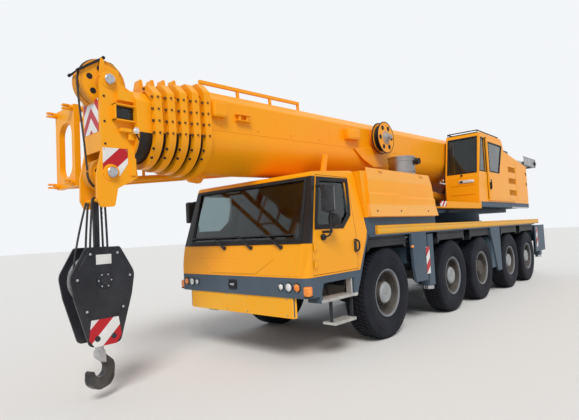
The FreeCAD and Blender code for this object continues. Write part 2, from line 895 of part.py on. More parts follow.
# Cab interior: two seats, the dashboard and the steering wheel on its column
floor_z = size.cab_bottom_z + size.cab_wall
interior = []
for y in (-620, 620):
    base = box((3960, 4300), (y - 170, y + 170), (floor_z, floor_z + 260))
    cushion = box((3850, 4360), (y - 240, y + 240), (floor_z + 260, floor_z + 380))
    backrest = prism("xz", (
        (3850, floor_z + 330),
        (3960, floor_z + 330),
        (3860, floor_z + 1080, 50),
        (3750, floor_z + 1080, 50),
    ), (y - 235, y + 235))
    interior.append(fuse(base, cushion, backrest))
dashboard = prism("xz", (
    (4470, floor_z),
    (4700, floor_z),
    (4635, size.screen_bottom_z - 60),
    (4610, size.screen_bottom_z + 10, 30),
    (4420, size.screen_bottom_z - 40, 50),
    (4470, floor_z + 200),
), (-1120, 1120))
column = bar("x", 35, (4320, 620, size.screen_bottom_z - 110), 160)
steering_wheel = bar("x", 225, (4290, 620, size.screen_bottom_z - 110), 30)
interior.append(fuse(dashboard, column, steering_wheel))
subpart("driver_cab_interior", together(*interior))


# Cab doors: the piece of the cab's side within the door's outline, with a window, two hinge
# knuckles on its front edge, a grip and the mirrors on their arm
hinge_x = size.door_front_x - 30
hinge_y = side_y + size.hinge_radius + 2


def cab_door():
    skin = cut(common(cab_body(0), door_outline(size.door_gap, door_span)),
               cab_body(size.cab_wall), door_window(0, door_span))
    fittings = []
    for z in (1260, 1480):
        fittings.append(bar("z", size.hinge_radius, (hinge_x, hinge_y, z), 90))
        fittings.append(box((hinge_x - 60, hinge_x), (side_y - 20, hinge_y), (z + 10, z + 80)))
    grip = box((3700, 3725), (side_y - 20, side_y + 30), (1420, 1560))
    mirror = prism("xy", (
        (4360, side_y + 85),
        (4530, side_y + 85, 30),
        (4530, side_y + 165, 40),
        (4360, side_y + 165, 40),
    ), (1975, 2310))
    upper_arm = box((4390, 4412), (side_y - 110, side_y + 135), (2310, 2332))
    lower_arm = box((4390, 4412), (side_y - 60, side_y + 135), (1700, 1722))
    stalk = box((4390, 4412), (side_y + 113, side_y + 135), (1722, 1975))
    small_mirror = bar("x", 85, (4335, side_y + 160, 1862), 60)
    return fuse(skin, *fittings, grip, mirror, upper_arm, lower_arm, stalk, small_mirror)


def door_glass():
    return cut(common(cab_body(18), door_window(size.fit_gap, door_span)), cab_body(28))


for side, sign in SIDES:
    subpart(f"driver_door_{side}", on_side(cab_door(), sign))
    subpart(f"door_glass_{side}", on_side(door_glass(), sign))


# Front skirt: the bumper with its lamps, the sill under the doors that runs up the front of
# the wheel arch, the steps and the blank sign plate
def skirt_side():
    return prism("xz", (
        (size.cab_front_x, size.skirt_front_low_z),
        (size.cab_front_x, size.cab_bottom_z - size.fit_gap),
        (size.cab_arch_low_x - 4, size.cab_bottom_z - size.fit_gap),
        (size.cab_arch_top_x - 4, size.cab_arch_top_z),
        (size.cab_arch_top_x - 29, size.cab_arch_top_z),
        (size.skirt_arch_low_x - 90, size.skirt_arch_low_z + 190),
        (size.skirt_arch_low_x, size.skirt_arch_low_z),
        (size.skirt_arch_low_x + 80, size.skirt_arch_low_z),
        (size.skirt_arch_low_x + 60, size.cab_bottom_z - 95),
        (size.cab_front_x - 330, size.cab_bottom_z - 95),
        (size.cab_front_x - 270, size.skirt_front_low_z),
    ), (-side_y, side_y))


def skirt_plan(inset):
    outer = side_y - inset
    front = size.cab_front_x - inset
    return prism("xy", (
        (size.cab_arch_top_x - 100, -outer),
        (front, -outer, size.cab_corner),
        (front, outer, size.cab_corner),
        (size.cab_arch_top_x - 100, outer),
    ), (size.skirt_arch_low_z - 10, size.cab_arch_top_z + 10))


lamps = []
for y, radius in ((1180, 46), (1040, size.lamp_radius), (905, 38)):
    for sign in (1, -1):
        start = (size.cab_front_x - 5, sign * y, (size.skirt_front_low_z + size.cab_bottom_z) / 2)
        lamps.append(bar("x", radius, start, 15))
skirt_ring = cut(common(skirt_side(), skirt_plan(0)), skirt_plan(size.skirt_thick))
sign_plate = box((size.cab_front_x - 30, size.cab_front_x - 22), (-size.sign_half_width, size.sign_half_width),
                 (size.sign_bottom_z, size.skirt_front_low_z + 40))
hangers = []
for y in (-600, 600):
    low = size.nose_top_z - 70
    hangers.append(box((size.nose_front_x - 60, size.cab_front_x - 20), (y - 30, y + 30), (low, low + 60)))
cross_bar = box((size.nose_front_x, size.nose_front_x + 50), (-1320, 1320),
                (size.nose_top_z - 70, size.nose_top_z - 10))
steps = []
for sign in (1, -1):
    across = (side_y - 210, side_y - 2) if sign > 0 else (2 - side_y, 210 - side_y)
    tread = box((size.skirt_arch_low_x + 55, size.cab_front_x - 280), across, (800, 830))
    ends_y = (side_y - 90, side_y - 50) if sign > 0 else (50 - side_y, 90 - side_y)
    rear_hanger = box((size.skirt_arch_low_x + 55, size.skirt_arch_low_x + 80), ends_y, (500, 860))
    front_hanger = box((size.cab_front_x - 560, size.cab_front_x - 535), ends_y, (500, 800))
    low_tread = box((size.skirt_arch_low_x + 55, size.cab_front_x - 535), across, (470, 500))
    corner = box((size.cab_front_x - 300, size.cab_front_x - 250), across, (800, 900))
    steps += [tread, rear_hanger, front_hanger, low_tread, corner]
subpart("front_skirt", fuse(skirt_ring, sign_plate, cross_bar, *hangers, *lamps, *steps))


# Engine hood: a shell open below, with a trough along its middle for the boom and a horn on
# each side that guides the boom into its rest
hood_side_y = side_y - 10


def hood_side(inset, low_z):
    front_x = size.cab_rear_x - size.hood_gap
    low_front_x = size.cab_arch_top_x + 20
    return prism("xz", (
        (size.hood_rear_low_x + inset, low_z),
        (size.hood_rear_top_x + inset, size.hood_top_z - inset),
        (size.hood_brow_x, size.hood_top_z - inset),
        (front_x - inset, size.hood_front_z - inset),
        (low_front_x - inset, low_z),
    ), (inset - hood_side_y, hood_side_y - inset))


def trough(inset):
    half = size.trough_half_width + inset
    return box((size.hood_rear_low_x - 100, size.cab_rear_x + 100), (-half, half),
               (size.trough_z - inset, size.hood_top_z + 100))


hood_shell = cut(
    hood_side(0, size.hood_low_z),
    trough(0),
    cut(hood_side(size.hood_wall, size.hood_low_z - 1), trough(size.hood_wall)),
)
horn_x = size.cab_rear_x - 60


def horn():
    foot_y = size.trough_half_width - 40
    return prism("xz", (
        (horn_x, size.trough_z),
        (horn_x, size.hood_front_z + 60),
        (horn_x - 110, size.hood_front_z + 380, 20),
        (horn_x - 190, size.hood_front_z + 380, 20),
        (horn_x - 110, size.hood_front_z + 60),
        (horn_x - 160, size.trough_z),
    ), (foot_y, size.trough_half_width))


left_horn = horn()
subpart("engine_hood", fuse(hood_shell, left_horn, mirrored(left_horn)))

subpart("engine_block", box(
    (size.engine_rear_x, size.engine_front_x),
    (-size.engine_half_width, size.engine_half_width),
    (size.frame_top_z, size.engine_top_z),
))

# Silencer: an upright drum on the left half of the hood, with a rim at each end and an outlet
# to the left
drum_height = size.muffler_top_z - size.hood_top_z
drum = bar("z", size.muffler_radius - 8, (size.muffler_x, size.muffler_y, size.hood_top_z), drum_height)
drum_rims = []
for z in (size.hood_top_z, size.muffler_top_z - 26):
    drum_rims.append(bar("z", size.muffler_radius, (size.muffler_x, size.muffler_y, z), 26))
outlet = bar("y", 55, (size.muffler_x - 90, size.muffler_y, size.muffler_top_z - 90), size.muffler_radius + 50)
subpart("muffler", fuse(drum, outlet, *drum_rims))

# Slewing platform: the ring, the base plate, the two side plates that hold the boom's foot
# pin, the lugs of the luffing cylinder, the carrier under the crane cab and the catwalk
ring_low_z = size.pedestal_top_z + size.fit_gap
ring = bar("z", size.ring_radius, (size.slew_x, 0, ring_low_z), size.platform_z - ring_low_z)
base_plate = box((size.platform_rear_x, size.platform_front_x),
                 (-size.platform_half_width, size.platform_half_width), (size.platform_z, size.platform_top_z))
plate_outer_y = size.side_plate_y + size.side_plate_thick


def side_plate():
    return prism("xz", (
        (size.platform_rear_x, size.platform_top_z),
        (size.crane_cab_front_x - 300, size.platform_top_z),
        (size.crane_cab_front_x - 500, size.crane_cab_bottom_z - 10),
        (size.crane_cab_rear_x - 40, size.crane_cab_bottom_z - 10),
        (size.pivot_x + 260, size.pivot_z + 260, 120),
        (size.pivot_x - 260, size.pivot_z + 260, 200),
        (size.platform_rear_x, size.pivot_z - 500),
    ), (size.side_plate_y, plate_outer_y))


left_plate = side_plate()
foot_pin = bar("y", size.pivot_radius, (size.pivot_x, -plate_outer_y, size.pivot_z), 2 * plate_outer_y)
cylinder_lug_y = 170


def cylinder_lug():
    foot = size.cylinder_foot_x
    return prism("xz", (
        (foot - 230, size.platform_top_z),
        (foot + 230, size.platform_top_z),
        (foot + 110, size.cylinder_foot_z + 100, 90),
        (foot - 110, size.cylinder_foot_z + 100, 90),
    ), (cylinder_lug_y, cylinder_lug_y + 40))


left_lug = cylinder_lug()
cylinder_pin = bar("y", size.cylinder_pin_radius,
                   (size.cylinder_foot_x, -cylinder_lug_y - 40, size.cylinder_foot_z),
                   2 * cylinder_lug_y + 80)
sill_z = (size.platform_top_z, size.crane_cab_bottom_z - size.fit_gap)
cab_carrier = box((size.crane_cab_rear_x - 10, size.crane_cab_front_x), (plate_outer_y - 5, size.crane_cab_outer_y),
                  sill_z)
catwalk_front_x = 590
catwalk = box((size.crane_cab_front_x - 100, catwalk_front_x), (1000, size.crane_cab_outer_y), (2060, 2090))
catwalk_kick = box((size.crane_cab_front_x - 100, catwalk_front_x), (1295, size.crane_cab_outer_y), (2090, 2190))
catwalk_arm = box((size.platform_front_x - 300, size.platform_front_x + 900), (650, 1000), (2060, 2090))
platform_side = box((size.housing_rear_x, size.crane_cab_rear_x - 10), (plate_outer_y - 5, size.crane_cab_outer_y),
                    sill_z)
subpart("slewing_platform", fuse(
    ring, base_plate, left_plate, mirrored(left_plate), foot_pin, left_lug, mirrored(left_lug),
    cylinder_pin, cab_carrier, catwalk, catwalk_kick, catwalk_arm, platform_side, mirrored(platform_side),
))


# Crane cab: a tall narrow shell with panes in front, on both sides and in the roof's front
def crane_cab_side(inset, span):
    return prism("xz", (
        (size.crane_cab_front_x - inset, size.crane_cab_bottom_z + inset),
        (size.crane_cab_front_x - 60 - inset, size.crane_cab_bottom_z + 600),
        (size.crane_cab_roof_front_x - inset, size.crane_cab_roof_z - inset, 70),
        (size.crane_cab_rear_x + 180 + inset, size.crane_cab_roof_z - inset, 90),
        (size.crane_cab_rear_x + inset, size.crane_cab_roof_z - 260),
        (size.crane_cab_rear_x + inset, size.crane_cab_bottom_z + inset),
    ), span)


def crane_cab_room(inset):
    span = (size.crane_cab_inner_y + inset, size.crane_cab_outer_y - inset)
    return crane_cab_side(inset, span)


crane_door_front_x = size.crane_cab_front_x - 640
crane_door_rear_x = size.crane_cab_rear_x + 60


def crane_door_outline(gap, span):
    return prism("xz", (
        (crane_door_front_x - gap, size.crane_cab_bottom_z + 60 + gap),
        (crane_door_front_x - gap, size.crane_cab_roof_z - 100 - gap, 50),
        (crane_door_rear_x + 180 + gap, size.crane_cab_roof_z - 100 - gap, 50),
        (crane_door_rear_x + gap, size.crane_cab_roof_z - 500),
        (crane_door_rear_x + gap, size.crane_cab_bottom_z + 60 + gap),
    ), span)


def pane_side(inset, span):
    return prism("xz", (
        (size.crane_cab_front_x - 150 - inset, size.crane_cab_bottom_z + 740 + inset, 40),
        (size.crane_cab_roof_front_x - 70 - inset, size.crane_cab_roof_z - 130 - inset, 40),
        (crane_door_front_x + 50 + inset, size.crane_cab_roof_z - 130 - inset, 40),
        (crane_door_front_x + 50 + inset, size.crane_cab_bottom_z + 740 + inset, 40),
    ), span)


def pane_front(inset, depth):
    low_z = size.crane_cab_bottom_z + 700 + inset
    high_z = size.crane_cab_roof_z - 110 - inset
    lean = (size.crane_cab_front_x - 60 - size.crane_cab_roof_front_x) / (
        size.crane_cab_roof_z - size.crane_cab_bottom_z - 600)
    low_x = size.crane_cab_front_x - 60 - (low_z - size.crane_cab_bottom_z - 600) * lean
    high_x = size.crane_cab_front_x - 60 - (high_z - size.crane_cab_bottom_z - 600) * lean
    front, back = depth
    return prism("xz", (
        (low_x - front, low_z),
        (high_x - front, high_z),
        (high_x - back, high_z),
        (low_x - back, low_z),
    ), (size.crane_cab_inner_y + 60 + inset, size.crane_cab_outer_y - 60 - inset))


inner_span = (size.crane_cab_inner_y - 10, size.crane_cab_inner_y + size.crane_cab_wall + 10)
outer_span = (size.crane_cab_outer_y - size.crane_cab_wall - 10, size.crane_cab_outer_y + 10)
door_rail_z = (size.crane_cab_bottom_z + 32, size.crane_cab_bottom_z + 60 - size.fit_gap)
door_rail_y = size.crane_cab_outer_y + 40
door_rails = [
    box((size.crane_cab_rear_x, crane_door_front_x + 30), (size.crane_cab_outer_y - 20, door_rail_y), door_rail_z),
    box((size.crane_cab_rear_x - 720, size.crane_cab_rear_x), (size.crane_cab_outer_y + size.fit_gap, door_rail_y),
        door_rail_z),
]
crane_cab_shell = cut(
    crane_cab_room(0),
    crane_cab_room(size.crane_cab_wall),
    pane_front(0, (-30, 90)),
    pane_side(0, inner_span),
    pane_side(0, outer_span),
    crane_door_outline(-20, outer_span),
)
subpart("crane_cab", fuse(crane_cab_shell, *door_rails))
glass_thick = 10
pane_inner_y = size.crane_cab_inner_y + 15
pane_outer_y = size.crane_cab_outer_y - 15
subpart("crane_cab_glass", together(
    pane_front(size.fit_gap, (10, 20)),
    pane_side(size.fit_gap, (pane_inner_y, pane_inner_y + glass_thick)),
    pane_side(size.fit_gap, (pane_outer_y - glass_thick, pane_outer_y)),
))
crane_floor_z = size.crane_cab_bottom_z + size.crane_cab_wall
crane_seat_y = (size.crane_cab_inner_y + size.crane_cab_outer_y) / 2
seat_base = box((-2950, -2600), (crane_seat_y - 150, crane_seat_y + 150), (crane_floor_z, crane_floor_z + 330))
seat_cushion = box((-3060, -2540), (crane_seat_y - 235, crane_seat_y + 235),
                   (crane_floor_z + 330, crane_floor_z + 450))
seat_back = prism("xz", (
    (-3060, crane_floor_z + 400),
    (-2950, crane_floor_z + 400),
    (-3080, crane_floor_z + 1150, 50),
    (-3190, crane_floor_z + 1150, 50),
), (crane_seat_y - 230, crane_seat_y + 230))
console = prism("xz", (
    (-1950, crane_floor_z),
    (-1700, crane_floor_z),
    (-1760, crane_floor_z + 620, 40),
    (-2040, crane_floor_z + 620, 40),
), (crane_seat_y - 250, crane_seat_y + 250))
subpart("crane_cab_interior", together(fuse(seat_base, seat_cushion, seat_back), console))

# The crane cab's door slides back along the outside of the cab on a rail over it
door_low_y = size.crane_cab_outer_y + 6
door_high_y = door_low_y + 30
crane_door_span = (door_low_y, door_high_y)


def crane_door_pane(inset, span):
    return prism("xz", (
        (crane_door_front_x - 90 - inset, size.crane_cab_bottom_z + 740 + inset, 40),
        (crane_door_front_x - 90 - inset, size.crane_cab_roof_z - 200 - inset, 40),
        (crane_door_rear_x + 230 + inset, size.crane_cab_roof_z - 200 - inset, 40),
        (crane_door_rear_x + 560 + inset, size.crane_cab_bottom_z + 740 + inset, 40),
    ), span)


crane_door_panel = cut(crane_door_outline(0, crane_door_span), crane_door_pane(0, crane_door_span))
crane_door_glass = crane_door_pane(size.fit_gap, (door_low_y + 10, door_low_y + 10 + glass_thick))
subpart("crane_cab_door", together(crane_door_panel, crane_door_glass))


# Machinery housing: closed lockers on both sides behind the cab. The left one has a ladder of
# three openings in its side.
def housing(front_x, front_z, rear_z):
    return prism("xz", (
        (size.housing_rear_x, size.crane_cab_bottom_z),
        (front_x, size.crane_cab_bottom_z),
        (front_x, front_z, 60),
        (size.housing_rear_x, rear_z, 60),
    ), (plate_outer_y + 20, size.crane_cab_outer_y))


housing_front_x = size.crane_cab_rear_x - 20
rungs = []
for z in (2430, 2750, 3060):
    rungs.append(box((housing_front_x - 900, housing_front_x - 250), (size.crane_cab_outer_y - 260, side_y),
                     (z, z + 150)))
left_housing = cut(housing(housing_front_x, size.housing_front_z, size.housing_rear_z), *rungs)
right_housing = mirrored(housing(size.crane_cab_front_x - 700, size.housing_front_z - 620, size.housing_rear_z - 400))
subpart("machinery_housing", together(left_housing, right_housing))

# Hoist winch: the rope drum between two arms at the tail
winch_arm_y = size.boom_half_width + 8
winch_drum = bar("y", size.winch_radius, (size.winch_x, -winch_arm_y, size.winch_z), 2 * winch_arm_y)
flanges = []
for y in (-size.winch_half_width - 30, size.winch_half_width):
    flanges.append(bar("y", size.winch_radius + 90, (size.winch_x, y, size.winch_z), 30))


def winch_arm():
    return prism("xz", (
        (size.platform_rear_x + 300, size.platform_top_z + 60),
        (size.platform_rear_x + 300, size.pivot_z - 560),
        (size.winch_x + 200, size.winch_z + 250, 60),
        (size.winch_x - 250, size.winch_z + 250, 120),
        (size.winch_x - 250, size.winch_z - 250, 120),
        (size.platform_rear_x, size.platform_top_z + 60),
    ), (winch_arm_y, size.side_plate_y - size.fit_gap))


left_arm = winch_arm()
subpart("hoist_winch", fuse(winch_drum, left_arm, mirrored(left_arm), *flanges))


# Boom sections, in the boom's frame. A section is flat on top with bevelled shoulders, has
# straight sides and a round belly.
def boom_profile(shrink, span):
    half = size.boom_half_width - shrink
    top = size.boom_axis_w + size.boom_half_height - shrink
    belly = size.boom_axis_w - size.boom_half_height + shrink
    return prism("yz", (
        (half, belly, half - 2),
        (half, top - size.boom_shoulder, 50),
        (half - size.boom_shoulder, top, 30),
        (size.boom_shoulder - half, top, 30),
        (-half, top - size.boom_shoulder, 50),
        (-half, belly, half - 2),
    ), span)


def tube(shrink, span):
    return cut(boom_profile(shrink, span), boom_profile(shrink + size.boom_wall, span))


def on_boom(item):
    item.Placement = FreeCAD.Placement(FreeCAD.Vector(), FreeCAD.Rotation(FreeCAD.Vector(0, 1, 0), 2))
    place(item, size.pivot_x, 0, size.pivot_z)
    bind(item, ".Placement.Rotation.Angle", size.boom_droop)
    return item


# Base section: the tube with its front collar, the bosses of the foot pin, the lugs of the
# luffing cylinder under the belly, the cable reel on the left side and a rail on top
base_front_u = size.boom_front_u
belly_w = size.boom_axis_w - size.boom_half_height
base_tube = tube(0, (-size.boom_tail, base_front_u))
base_collar = cut(boom_profile(-size.collar_proud, (base_front_u - size.collar_length, base_front_u)),
                  boom_profile(size.boom_wall, (base_front_u - size.collar_length, base_front_u)))
boss_start = size.boom_half_width - 40
boss = bar("y", 130, (0, boss_start, 0), size.side_plate_y - 5 - boss_start)
foot_bore = bar("y", size.pivot_radius + size.fit_gap, (0, -size.side_plate_y, 0), 2 * size.side_plate_y)
rear_plate = cut(
    boom_profile(5, (60 - size.boom_tail, 80 - size.boom_tail)),
    box((-size.boom_tail, 200 - size.boom_tail), (-220, 220), (size.boom_axis_w - 220, size.boom_axis_w + 260)),
)
lug_u, lug_w = size.cylinder_lug_u, size.cylinder_lug_w
boom_lug = fuse(
    prism("xz", (
        (lug_u - 330, belly_w + 42),
        (lug_u - 90, lug_w - 90, 60),
        (lug_u + 90, lug_w - 90, 60),
        (lug_u + 330, belly_w + 42),
    ), (cylinder_lug_y, cylinder_lug_y + 40)),
    bar("y", size.cylinder_pin_radius + 25, (lug_u, cylinder_lug_y + 30, lug_w), 40),
)
reel = fuse(
    bar("y", size.reel_radius, (size.reel_u, size.reel_y, size.reel_w), 12),
    bar("y", size.reel_radius, (size.reel_u, size.reel_y + 120, size.reel_w), 12),
    bar("y", 110, (size.reel_u, size.boom_half_width - 5, size.reel_w), size.reel_y + 150 - size.boom_half_width),
)
collar_lug = prism("xz", (
    (base_front_u - 330, belly_w + 5),
    (base_front_u - 230, belly_w - 110, 30),
    (base_front_u - 60, belly_w - 90, 30),
    (base_front_u - 20, belly_w + 5),
), (-30, 30))
top_w = size.boom_axis_w + size.boom_half_height
rail_rear_u = base_front_u - 2100
boom_rail = [box((rail_rear_u, base_front_u - 120), (265, 305), (top_w + 105, top_w + 150))]
for u in (rail_rear_u, base_front_u - 1450, base_front_u - 800, base_front_u - 160):
    boom_rail.append(box((u, u + 40), (270, 300), (top_w - 5, top_w + 110)))
base_section = cut(fuse(base_tube, boss, mirrored(boss)), foot_bore)
subpart("boom_base", on_boom(fuse(base_section, base_collar, boom_lug, mirrored(boom_lug),
                                  rear_plate, reel, collar_lug, *boom_rail)))

# Telescopic sections: each slides in the one outside it on pads at its rear end, and shows
# only its collar with an upright lug on top
for number in range(1, 6):
    shrink = size.boom_step * number
    rear_u = size.section_rear_u + 40 * number
    front_u = base_front_u + size.collar_pitch * number
    pad_span = (rear_u, rear_u + 150)
    pads = cut(boom_profile(shrink - size.boom_step + size.boom_wall + size.fit_gap, pad_span),
               boom_profile(shrink + size.boom_wall, pad_span))
    pieces = [tube(shrink, (rear_u, front_u)), pads]
    if number < 5:
        collar_span = (front_u - size.collar_length, front_u)
        pieces.append(cut(boom_profile(shrink - size.collar_proud, collar_span),
                          boom_profile(shrink + size.boom_wall, collar_span)))
        top_w = size.boom_axis_w + size.boom_half_height - shrink
        pieces.append(prism("xz", (
            (front_u - 90, top_w),
            (front_u - 10, top_w),
            (front_u - 10, top_w + 70),
            (front_u - 40, top_w + 190, 15),
            (front_u - 70, top_w + 190, 15),
            (front_u - 90, top_w + 70),
        ), (-60, 60)))
    subpart(f"boom_section_{number}", on_boom(fuse(*pieces)))

# Boom head: an end plate that closes the last section, two side plates with a front plate
# between them, the upper and lower sheaves on their axles, and the pin of the hook block
droop = math.radians(size.boom_droop)


def boom_point(x, z, *radius):
    u = (x - size.pivot_x) * math.cos(droop) - (z - size.pivot_z) * math.sin(droop)
    w = (x - size.pivot_x) * math.sin(droop) + (z - size.pivot_z) * math.cos(droop)
    return (u, w, *radius)


head_rear_u = base_front_u + size.collar_pitch * 5
end_plate = boom_profile(size.boom_step * 5, (head_rear_u, head_rear_u + 25))
front_x = size.head_front_x
head_plate = prism("xz", (
    (head_rear_u + 25, size.boom_axis_w + 390),
    boom_point(front_x - 180, size.upper_sheave_z + 20),
    boom_point(front_x, size.upper_sheave_z + 40, 40),
    boom_point(front_x, size.lower_sheave_z + 240),
    boom_point(front_x + 60, size.lower_sheave_z - 30),
    boom_point(size.block_x + 80, size.block_pin_z + 10),
    boom_point(size.block_x + 35, size.block_pin_z - 90, 30),
    boom_point(size.block_x - 120, size.block_pin_z - 80, 30),
    boom_point(size.block_x - 160, size.block_pin_z + 120),
    boom_point(front_x - 420, size.lower_sheave_z - 40, 30),
    (head_rear_u + 25, size.boom_axis_w - 330),
), (size.head_half_width - 35, size.head_half_width))
head_front = prism("xz", (
    boom_point(front_x - 25, size.lower_sheave_z + 240),
    boom_point(front_x - 25, size.upper_sheave_z - size.upper_sheave_radius + 20),
    boom_point(front_x, size.upper_sheave_z - size.upper_sheave_radius + 20),
    boom_point(front_x, size.lower_sheave_z + 240),
), (30 - size.head_half_width, size.head_half_width - 30))
junction_box = prism("xz", (
    boom_point(front_x - 360, size.upper_sheave_z - 220),
    boom_point(front_x - 360, size.upper_sheave_z - 110),
    boom_point(front_x - 180, size.upper_sheave_z - 100),
    boom_point(front_x - 180, size.upper_sheave_z - 220),
), (size.head_half_width - 5, size.head_half_width + 60))
pin_u, pin_w = boom_point(size.block_x, size.block_pin_z)
rollers = [bar("y", size.block_pin_radius, (pin_u, -size.head_half_width, pin_w), 2 * size.head_half_width)]
for z, radius in ((size.upper_sheave_z, size.upper_sheave_radius), (size.lower_sheave_z, size.lower_sheave_radius)):
    u, w = boom_point(size.sheave_x, z)
    rollers.append(bar("y", 50, (u, -size.head_half_width - 35, w), 2 * size.head_half_width + 70))
    for start in (-size.sheave_half_width, 15):
        rollers.append(bar("y", radius, (u, start, w), size.sheave_half_width - 15))
subpart("boom_head", on_boom(fuse(end_plate, head_plate, mirrored(head_plate), head_front, junction_box, *rollers)))

# Luffing cylinder: the barrel turns on the platform's pin, and the rod's eye sits on the
# boom's pin
lug_x = size.pivot_x + lug_u * math.cos(droop) + lug_w * math.sin(droop)
lug_z = size.pivot_z - lug_u * math.sin(droop) + lug_w * math.cos(droop)
cylinder_length = math.hypot(lug_x - size.cylinder_foot_x, lug_z - size.cylinder_foot_z)
cylinder_rise = math.degrees(math.atan2(lug_z - size.cylinder_foot_z, lug_x - size.cylinder_foot_x))


def on_cylinder(item):
    turn = FreeCAD.Rotation(FreeCAD.Vector(0, 1, 0), -cylinder_rise)
    item.Placement = FreeCAD.Placement(FreeCAD.Vector(), turn)
    return place(item, size.cylinder_foot_x, 0, size.cylinder_foot_z)


eye_half_width = cylinder_lug_y - 5
barrel_start = 140
barrel = cut(
    fuse(
        bar("y", 110, (0, -eye_half_width, 0), 2 * eye_half_width),
        box((0, barrel_start + 20), (-90, 90), (-105, 105)),
        bar("x", size.barrel_radius, (barrel_start, 0, 0), size.barrel_length),
    ),
    bar("y", size.cylinder_pin_radius + size.fit_gap, (0, -300, 0), 600),
    bar("x", size.rod_radius + size.fit_gap, (barrel_start + 60, 0, 0), size.barrel_length),
)
subpart("luffing_cylinder_barrel", on_cylinder(barrel))
rod_start = barrel_start + 100
rod = cut(
    fuse(
        bar("x", size.rod_radius, (rod_start, 0, 0), cylinder_length - 60 - rod_start),
        bar("y", 105, (cylinder_length, -eye_half_width, 0), 2 * eye_half_width),
        box((cylinder_length - 160, cylinder_length), (-90, 90), (-95, 95)),
    ),
    bar("y", size.cylinder_pin_radius + size.fit_gap, (cylinder_length, -300, 0), 600),
)
subpart("luffing_cylinder_rod", on_cylinder(rod))

# Folding jib: a tapered lattice carried along the boom's right side on two brackets. Its foot
# is a slotted frame with a fork at each corner.
def strut(start, end, radius):
    along = FreeCAD.Vector(*end) - FreeCAD.Vector(*start)
    item = doc.addObject("Part::Cylinder", "Strut")
    item.Placement = FreeCAD.Placement(FreeCAD.Vector(), FreeCAD.Rotation(FreeCAD.Vector(0, 0, 1), along))
    bind(item, "Radius", radius)
    bind(item, "Height", along.Length)
    return place(item, *start)


def jib_point(share, high, y):
    x = size.jib_front_x + (size.jib_rear_x - size.jib_front_x) * share
    low = size.jib_foot_low_z + (size.jib_tip_low_z - size.jib_foot_low_z) * share
    top = size.jib_foot_high_z + (size.jib_tip_high_z - size.jib_foot_high_z) * share
    return (x, y, top if high else low)


jib_bays = 10
jib_pieces = []
for y in (-size.jib_inner_y, -size.jib_outer_y):
    for high in (False, True):
        jib_pieces.append(strut(jib_point(0, high, y), jib_point(1, high, y), size.jib_chord_radius))
    for bay in range(1, jib_bays + 1):
        share = bay / jib_bays
        jib_pieces.append(strut(jib_point(share, False, y), jib_point(share, True, y), 20))
for high in (False, True):
    for bay in range(1, jib_bays + 1):
        share = bay / jib_bays
        jib_pieces.append(strut(jib_point(share, high, -size.jib_inner_y), jib_point(share, high, -size.jib_outer_y),
                                20))
foot_rear_x = size.jib_front_x - 30
foot_front_x = size.jib_front_x + 40
foot_side = size.jib_chord_radius + 5
slot_inner_y = -size.jib_inner_y - 40
slot_outer_y = 70 - size.jib_outer_y
jib_pieces.append(cut(
    box((foot_rear_x, foot_front_x), (-size.jib_outer_y - foot_side, foot_side - size.jib_inner_y),
        (size.jib_foot_low_z - foot_side, size.jib_foot_high_z + foot_side)),
    prism("yz", (
        (slot_outer_y, size.jib_foot_low_z + 80, 160),
        (slot_inner_y, size.jib_foot_low_z + 80, 160),
        (slot_inner_y, size.jib_foot_high_z - 150, 160),
        (slot_outer_y, size.jib_foot_high_z - 150, 160),
    ), (foot_rear_x, foot_front_x)),
))
for y in (-size.jib_inner_y, -size.jib_outer_y):
    for z in (size.jib_foot_low_z, size.jib_foot_high_z):
        jib_pieces.append(bar("x", 36, (foot_front_x, y, z), 50))
        for low in (z + 10, z - 30):
            jib_pieces.append(box((foot_front_x + 40, foot_front_x + 120), (y - 30, y + 30), (low, low + 20)))
for x, z in ((5250, 2950), (-900, 3440)):
    jib_pieces.append(box((x - 60, x + 60), (-size.jib_inner_y, -size.boom_half_width - size.fit_gap),
                          (z - 90, z + 90)))
    jib_pieces.append(box((x - 60, x + 60), (-size.jib_inner_y - 15, 15 - size.jib_inner_y), (z - 300, z + 300)))
subpart("folding_jib", fuse(*jib_pieces))

# Hook block: two cheek plates with three sheaves between them, a crosshead below, and the
# strap that hangs it from the head's pin
sheave_gap = size.block_half_width - 30
cheek = prism("xz", (
    (size.block_x - 190, size.block_top_z, 40),
    (size.block_x - size.block_half_length, size.block_sheave_z + 60, 160),
    (size.block_x - size.block_half_length + 40, size.block_sheave_z - 180, 120),
    (size.block_x - 170, size.block_bottom_z + 20, 60),
    (size.block_x + 170, size.block_bottom_z + 20, 60),
    (size.block_x + size.block_half_length - 40, size.block_sheave_z - 180, 120),
    (size.block_x + size.block_half_length, size.block_sheave_z + 60, 160),
    (size.block_x + 190, size.block_top_z, 40),
), (size.block_half_width - 25, size.block_half_width))
block_axle = bar("y", 50, (size.block_x, -size.block_half_width - 15, size.block_sheave_z),
                 2 * size.block_half_width + 30)
block_sheaves = []
for y in (-85, 0, 85):
    block_sheaves.append(bar("y", 270, (size.block_x, y - 32, size.block_sheave_z), 64))
crosshead = box((size.block_x - 110, size.block_x + 110), (-sheave_gap - 10, sheave_gap + 10),
                (size.block_bottom_z + 60, size.block_bottom_z + 230))
top_bar = box((size.block_x - 60, size.block_x + 60), (-sheave_gap - 10, sheave_gap + 10),
              (size.block_top_z - 70, size.block_top_z))
strap = box((size.block_x - 30, size.block_x + 30), (-20, 20), (size.block_top_z, size.block_pin_z - 30))
strap_eye = bar("y", 42, (size.block_x, -20, size.block_pin_z), 40)
hook_bore_radius = 46
hook_bore = bar("z", hook_bore_radius, (size.block_x, 0, size.block_bottom_z), 230)
pin_hole = bar("y", size.block_pin_radius + size.fit_gap, (size.block_x, -50, size.block_pin_z), 100)
